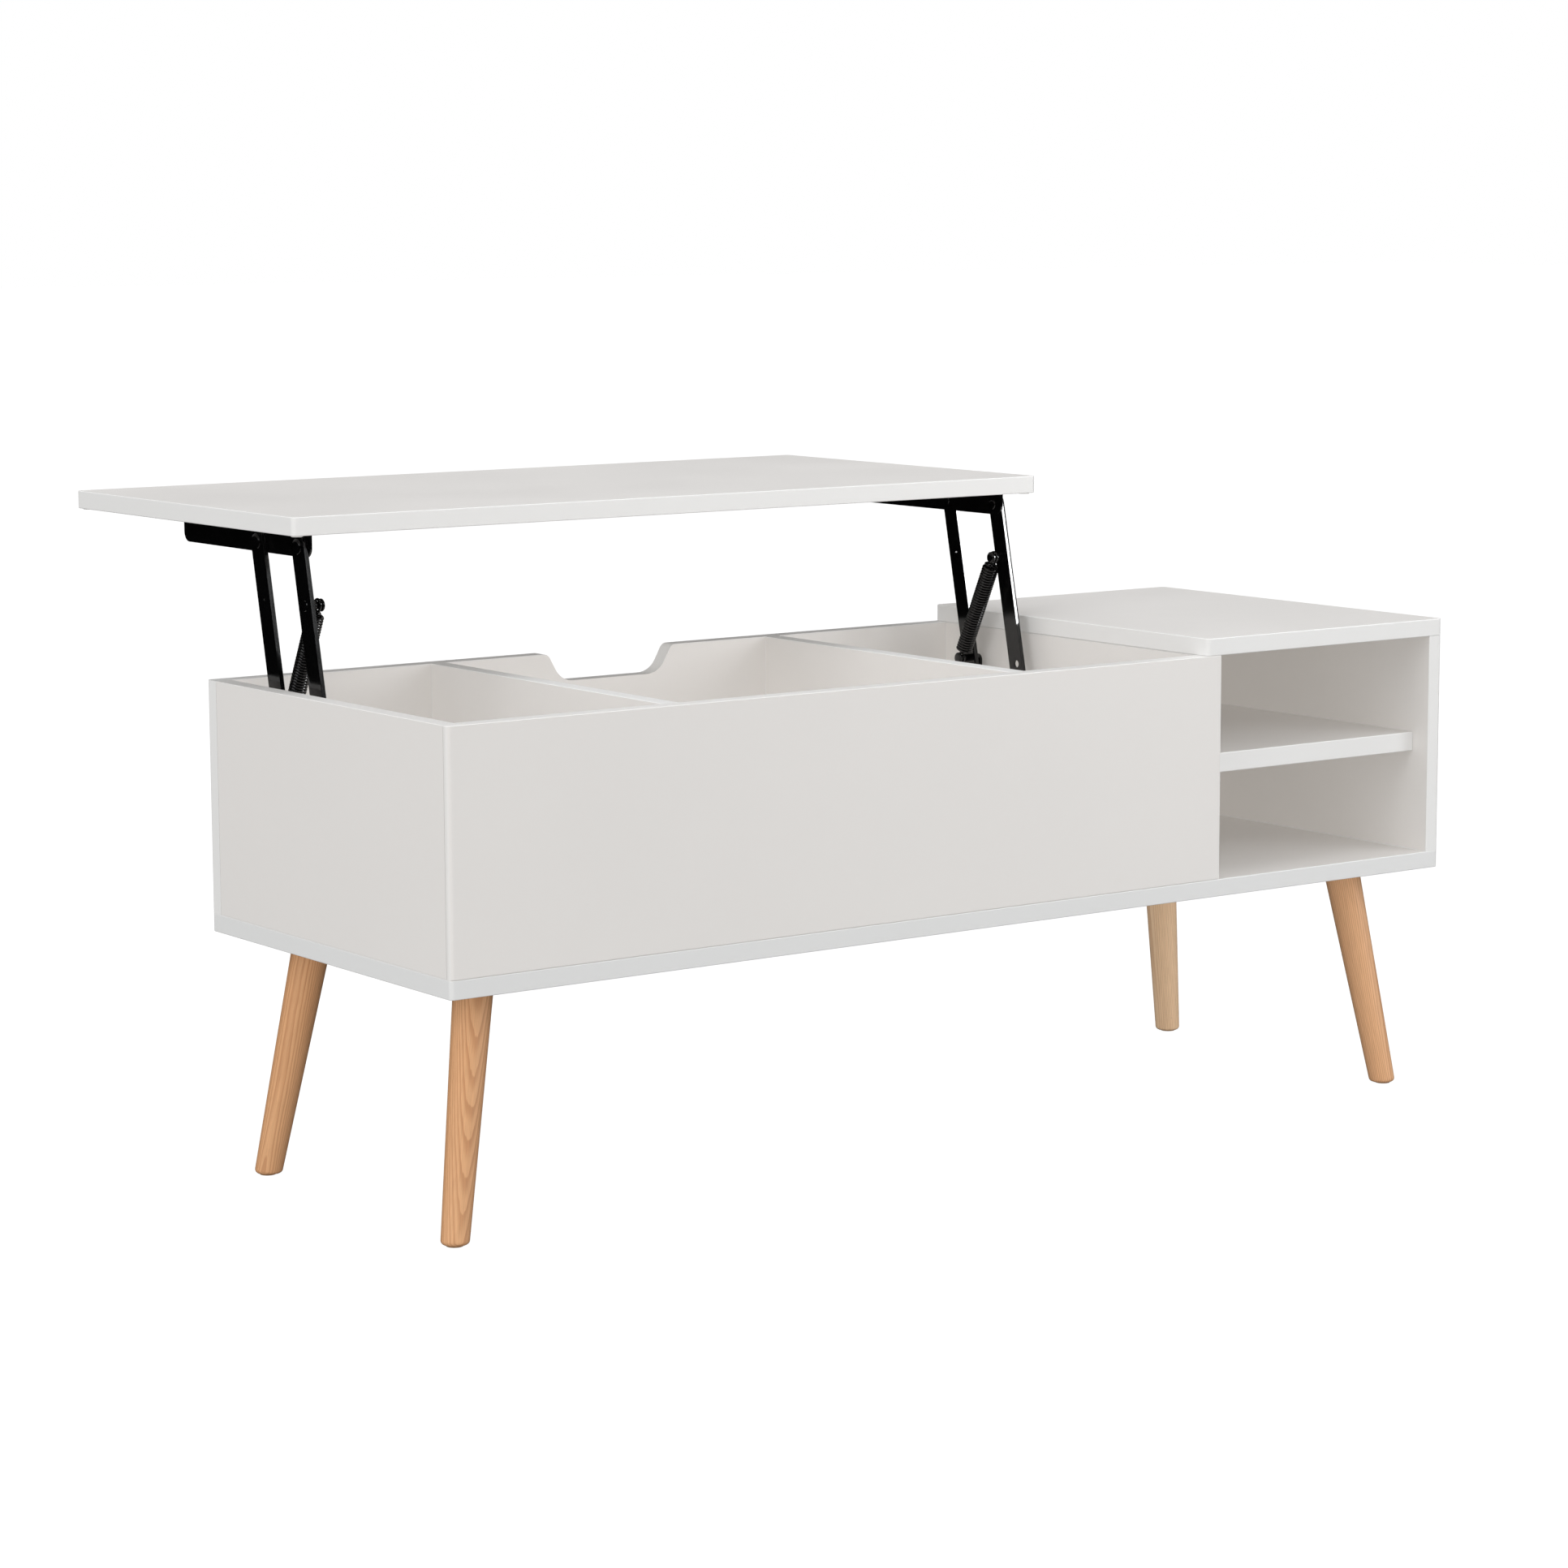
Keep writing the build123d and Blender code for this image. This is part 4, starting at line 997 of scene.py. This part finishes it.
@dataclass
class CoilSpring(Assembly):
    """One close-wound extension spring with a hook at each end, wound from a single wire."""

    side: str = "left"
    hand: int = 1
    wire_radius: float = 1.25 * MM
    coil_radius: float = 6.75 * MM
    turns: int = 34
    coil_start: float = 9.7 * MM
    hook_radius: float = 5.05 * MM
    hook_tip_angle: int = 322
    hook_neck_angle: int = 17
    hook_step: int = 9
    neck_gap: float = 2.2 * MM
    wire_sides: int = 10
    steps_per_turn: int = 26
    bridge_steps: int = 9
    title: str = "springs"

    def joint(self, name: str) -> dict:
        """Look up one of the spring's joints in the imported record."""
        return next(joint for joint in frame["joints"] if joint["name"] == f"{name}_{self.side}")

    def ends(self) -> tuple[Vector, Vector]:
        """Find the centres of the two studs.

        Returns:
            The lower stud's centre and the upper stud's, both in the spring's own plane.
        """
        lower = Vector(self.joint("spring_turn")["pos_m"])
        low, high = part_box(f"near_spring_stud_{self.side}")
        return lower, Vector((lower.x, (low[1] + high[1]) / 2, (low[2] + high[2]) / 2))

    def lower_hook(self) -> list[tuple[float, float, float]]:
        """Lay out the lower hook and its neck, with Z up the spring from the stud and X along the stud.

        Returns:
            Points from the hook's open end to just before the first turn of the coil.
        """
        degrees = range(self.hook_tip_angle, self.hook_neck_angle, -self.hook_step)
        angles = [math.radians(angle) for angle in degrees]
        ring = [(0.0, self.hook_radius * math.sin(angle), self.hook_radius * math.cos(angle))
                for angle in angles]
        neck_top = self.coil_start - self.neck_gap
        neck = [(0.0, 0.12 * self.hook_radius, 1.12 * self.hook_radius),
                (0.0, 0.0, (1.2 * self.hook_radius + neck_top) / 2)]
        bridge = []
        for step in range(1, self.bridge_steps):
            share = step / self.bridge_steps
            angle = math.pi * (1.5 - share)
            radius = self.coil_radius * share ** 0.7
            bridge.append((radius * math.cos(angle), radius * math.sin(angle),
                           neck_top + (self.coil_start - neck_top) * share))
        return ring + neck + bridge

    def centre_line(self) -> list[Vector]:
        """Lay out the wire from the open end of the lower hook to the open end of the upper one.

        Returns:
            The points of the wire's centre line.
        """
        lower, upper = self.ends()
        length = (upper - lower).length
        along = (upper - lower).normalized()
        side = Vector((1, 0, 0))
        across = along.cross(side)
        count = self.turns * self.steps_per_turn
        coil = []
        for step in range(count + 1):
            angle = math.pi / 2 - 2 * math.pi * step / self.steps_per_turn
            coil.append((self.coil_radius * math.cos(angle), self.coil_radius * math.sin(angle),
                         self.coil_start + (length - 2 * self.coil_start) * step / count))
        hook = self.lower_hook()
        points = hook + coil + [(-x, y, length - z) for x, y, z in reversed(hook)]
        return [lower + side * (self.hand * x) + across * y + along * z for x, y, z in points]

    def build(self) -> None:
        """Sweep the wire from stud to stud and hide the CAD spring and its hook."""
        points = self.centre_line()
        mesh = bpy.data.meshes.new("spring_line")
        mesh.from_pydata([tuple(point) for point in points], [(k, k + 1) for k in range(len(points) - 1)], [])
        piece = run_tree(new_object("spring_line", mesh), wire_tree(),
                         {"Wire Radius": self.wire_radius, "Sides": self.wire_sides,
                          "Finish": Finish.SPRING_WIRE.material()}, f"coil_spring_{self.side}")
        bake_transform(piece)
        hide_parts(f"lift_spring_{self.side}", f"spring_hook_{self.side}")
        self.note(piece.name, f"spring_{self.side}")


@dataclass
class LiftMechanism(Assembly):
    """Both lifting mechanisms: brackets, arms, springs, pivots and screws."""

    title: str = "mechanism"
    stud: Fastener = Fastener(Head.STUD, head_radius=5.6 * MM, head_height=2.5 * MM, shank_radius=3.5 * MM,
                              shank_length=15.0 * MM, tail_radius=4.8 * MM, tail_height=0.8 * MM)
    lower_rivet: Fastener = Fastener(Head.DOME, head_radius=7.0 * MM, head_height=2.4 * MM,
                                     shank_radius=4.0 * MM, shank_length=15.9 * MM)
    upper_rivet: Fastener = Fastener(Head.DOME, head_radius=7.0 * MM, head_height=2.4 * MM,
                                     shank_radius=4.0 * MM, shank_length=6.9 * MM,
                                     tail_radius=5.0 * MM, tail_height=0.6 * MM)
    wood_screw: Fastener = Fastener(Head.CROSS_PAN, head_radius=4.0 * MM, head_height=2.0 * MM,
                                    shank_radius=2.0 * MM, shank_length=12.0 * MM)

    def black_row(self, node: str, body: str, shape: Fastener, upright: bool = False,
                  head_outside: bool = False) -> FastenerRow:
        """Describe a row of black fasteners.

        Args:
            node: the CAD node that it remakes.
            body: the body that it rides on.
            shape: the fastener.
            upright: the heads point down, along Z, and not sideways.
            head_outside: the heads of a sideways row face away from its middle.

        Returns:
            The row.
        """
        return FastenerRow(node=node, body=body, slot="black_steel", finish=Finish.BLACK_STEEL, shape=shape,
                           upright=upright, head_outside=head_outside)

    def side_parts(self, side: str, hand: int) -> list[Assembly]:
        """List the parts of the mechanism at one end.

        Args:
            side: which end.
            hand: 1 at the left, -1 where the spring is mirrored.

        Returns:
            The pressed parts, the spring and its studs.
        """
        carriers = {f"near_arm_{side}": f"near_arm_{side}", f"far_arm_{side}": f"far_arm_{side}",
                    f"base_bracket_{side}": "carcass", f"lid_bracket_{side}": "lid"}
        found: list[Assembly] = [PressedPart(node=node, body=body) for node, body in carriers.items()]
        found.append(CoilSpring(side=side, hand=hand))
        found += [self.black_row(f"{arm}_spring_stud_{side}", f"{arm}_arm_{side}", self.stud)
                  for arm in ("near", "far")]
        return found

    def parts(self) -> list[Assembly]:
        """List the mechanism's sub-assemblies."""
        return [*self.side_parts("left", 1), *self.side_parts("right", -1),
                self.black_row("lower_pivot_rivets", "carcass", self.lower_rivet),
                self.black_row("upper_pivot_rivets", "lid", self.upper_rivet, head_outside=True),
                self.black_row("base_bracket_screws", "carcass", self.wood_screw),
                self.black_row("lid_bracket_screws", "lid", self.wood_screw, upright=True)]

    def build(self) -> None:
        """Build every part, and dress the small moulded ones."""
        for part in self.parts():
            part.build()
            self.made += part.made
        for side in ("left", "right"):
            self.keep(f"stop_buffer_{side}", Finish.BLACK_PLASTIC.material())
        self.keep("pivot_bushes", Finish.BLACK_STEEL.material())
        self.keep("pivot_washers", Finish.BLACK_PLASTIC.material())


@dataclass
class Fittings(Assembly):
    """Small fittings of the carcass and the lid."""

    title: str = "fittings"
    plate_screw: Fastener = Fastener(Head.CROSS_PAN, head_radius=3.5 * MM, head_height=1.4 * MM,
                                     shank_radius=2.0 * MM, shank_length=12.0 * MM)
    confirmat: Fastener = Fastener(Head.HEX_FLUSH, head_radius=4.75 * MM, head_height=4.0 * MM,
                                   shank_radius=2.5 * MM, shank_length=44.0 * MM)

    def build(self) -> None:
        """Build the visible screws underneath, and dress what is hidden or plain."""
        for node, shape in (("leg_plate_screws", self.plate_screw), ("confirmat_screws", self.confirmat)):
            row = FastenerRow(node=node, shape=shape, upright=True)
            row.build()
            self.made += row.made
        self.keep("shelf_pins", Finish.BRIGHT_STEEL.material())
        self.keep("lid_bumpers", Finish.PALE_BUMPER.material())
        dowel = Timber("dowel_timber", Vector((0, 0, 0)), Vector((0, 1, 0)), seed=9.1, ring=1.9 * MM,
                       light=(0.78, 0.58, 0.38), dark=(0.62, 0.42, 0.25), coat=0.0)
        self.keep("dowels", dowel.build())


# ---------------------------------------------------------------- studio


def new_light(name: str, kind: str, power: float, colour: Colour, direction: Vector) -> bpy.types.Object:
    """Link a light that shines along a direction.

    Args:
        name: name of the light.
        kind: "AREA" or "SUN".
        power: its strength.
        colour: its colour.
        direction: where it shines.

    Returns:
        The light, at the origin.
    """
    data = bpy.data.lights.new(name, kind)
    data.energy, data.color = power, colour
    light = bpy.data.objects.new(name, data)
    light.rotation_euler = direction.to_track_quat("-Z", "Y").to_euler()
    bpy.context.scene.collection.objects.link(light)
    return light


def show_camera(tree: Tree, others: bpy.types.Node, camera: bpy.types.Node, output: str) -> None:
    """End a tree with one shader for the camera and one for every other ray.

    Args:
        tree: the tree.
        others: the shader that lights the table.
        camera: the shader that the camera sees.
        output: Blender's name for the output node's type.
    """
    path = tree.add("ShaderNodeLightPath")
    mixed = tree.add("ShaderNodeMixShader", {0: path.outputs["Is Camera Ray"], 1: others.outputs[0],
                                             2: camera.outputs[0]})
    tree.link(mixed.outputs[0], tree.add(output).inputs[0])


@dataclass
class Softbox:
    """One soft area light aimed at the table."""

    name: str
    place: Vector
    aim: Vector
    size: tuple[float, float]
    power: float
    colour: Colour = (0.97, 0.985, 1.0)
    gloss_only: bool = False

    def build(self) -> None:
        """Make the light."""
        light = new_light(self.name, "AREA", self.power, self.colour, self.aim - self.place)
        light.data.shape, light.data.size, light.data.size_y = "RECTANGLE", self.size[0], self.size[1]
        light.location = self.place
        light.visible_diffuse = not self.gloss_only


@dataclass
class Studio:
    """White room, floor, lights and camera."""

    sky: float = 0.69
    floor_glow: float = 0.95
    floor_matt: float = 0.12
    floor_bounce: float = 0.38
    floor_reach: float = 30.0
    even_fill: float = 1.06
    fill_colour: Colour = (1.0, 0.968, 0.915)
    camera_place: Vector = field(default_factory=lambda: Vector((-2.2545, -3.1282, 0.8600)))
    camera_turn: float = 35.932
    camera_dip: float = 8.191
    camera_roll: float = -0.217
    lens: float = 95.52
    sensor_width: float = 36.0

    def grey(self, level: float) -> tuple[float, float, float, float]:
        """Give a grey as red, green, blue and alpha."""
        return level, level, level, 1.0

    def build(self) -> None:
        """Build the whole studio."""
        self.room()
        self.floor()
        middle = Vector((0.0, 0.0, 0.35))
        right_arms = Vector((0.24, -0.05, 0.5))
        boxes = [Softbox("key_right", Vector((1.9, -2.5, 1.4)), middle, size=(1.6, 1.6), power=19.0),
                 Softbox("fill_left", Vector((-3.2, -0.8, 1.9)), middle, size=(2.0, 1.6), power=22.0),
                 Softbox("top", Vector((0.1, -0.2, 3.2)), middle, size=(2.6, 1.8), power=26.0),
                 Softbox("strip", Vector((2.12, -2.28, 1.20)), right_arms, size=(0.40, 0.8), power=40.0,
                         gloss_only=True)]
        for box in boxes:
            box.build()
        self.fill()
        self.camera()

    def fill(self) -> None:
        """Add the even, slightly warm light that reaches into the cubby and the bins."""
        direction = Vector((0.65, 0.62, -0.44))
        light = new_light("even_fill", "SUN", self.even_fill, self.fill_colour, direction)
        light.data.use_shadow = False
        light.visible_glossy = False

    def room(self) -> None:
        """Make an even white room that is left out of gloss, as the dark end of a studio is."""
        world = bpy.data.worlds.new("studio")
        bpy.context.scene.world = world
        world.use_nodes = True
        tree = Tree(world.node_tree)
        world.node_tree.nodes.clear()
        soft = tree.add("ShaderNodeBackground", {"Color": self.grey(1.0), "Strength": self.sky})
        seen = tree.add("ShaderNodeBackground", {"Color": self.grey(1.0), "Strength": 1.0})
        show_camera(tree, soft, seen, "ShaderNodeOutputWorld")
        world.cycles_visibility.glossy = False
        bpy.context.scene.view_settings.view_transform = "Standard"

    def floor(self) -> None:
        """Lay a pale floor that glows nearly white, so that only a trace of shadow shows."""
        shape = bmesh.new()
        bmesh.ops.create_grid(shape, x_segments=1, y_segments=1, size=self.floor_reach)
        floor = new_object("floor", finished_mesh(shape, "floor"))
        material = bpy.data.materials.new("pale_floor")
        material.use_nodes = True
        material.node_tree.nodes.clear()
        tree = Tree(material.node_tree)
        matt = tree.add("ShaderNodeBsdfDiffuse", {"Color": self.grey(self.floor_matt)})
        glow = tree.add("ShaderNodeEmission", {"Color": self.grey(1.0), "Strength": self.floor_glow})
        seen = tree.add("ShaderNodeAddShader", {0: matt.outputs[0], 1: glow.outputs[0]})
        bounce = tree.add("ShaderNodeBsdfDiffuse", {"Color": self.grey(self.floor_bounce)})
        show_camera(tree, bounce, seen, "ShaderNodeOutputMaterial")
        paint(floor, material)
        floor.visible_glossy = False

    def camera(self) -> None:
        """Stand the camera in front of the near left corner."""
        data = bpy.data.cameras.new("camera")
        data.lens, data.sensor_width, data.clip_end = self.lens, self.sensor_width, 100.0
        camera = bpy.data.objects.new("camera", data)
        turn = Matrix.Rotation(math.radians(-self.camera_turn), 4, "Z")
        tilt = Matrix.Rotation(math.radians(90.0 - self.camera_dip), 4, "X")
        roll = Matrix.Rotation(math.radians(self.camera_roll), 4, "Z")
        camera.matrix_world = Matrix.Translation(self.camera_place) @ turn @ tilt @ roll
        bpy.context.scene.collection.objects.link(camera)
        bpy.context.scene.camera = camera


def main() -> None:
    """Build, dress and light the whole table, in order."""
    logging.basicConfig(level=logging.INFO, format="%(name)s %(message)s")
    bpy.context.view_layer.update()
    for assembly in (Boards(), Legs(), LiftMechanism(), Fittings()):
        assembly.build()
        LOG.info("%s finished with %d pieces", assembly.title, len(assembly.made))
    Studio().build()


if __name__ == "__main__":
    main()
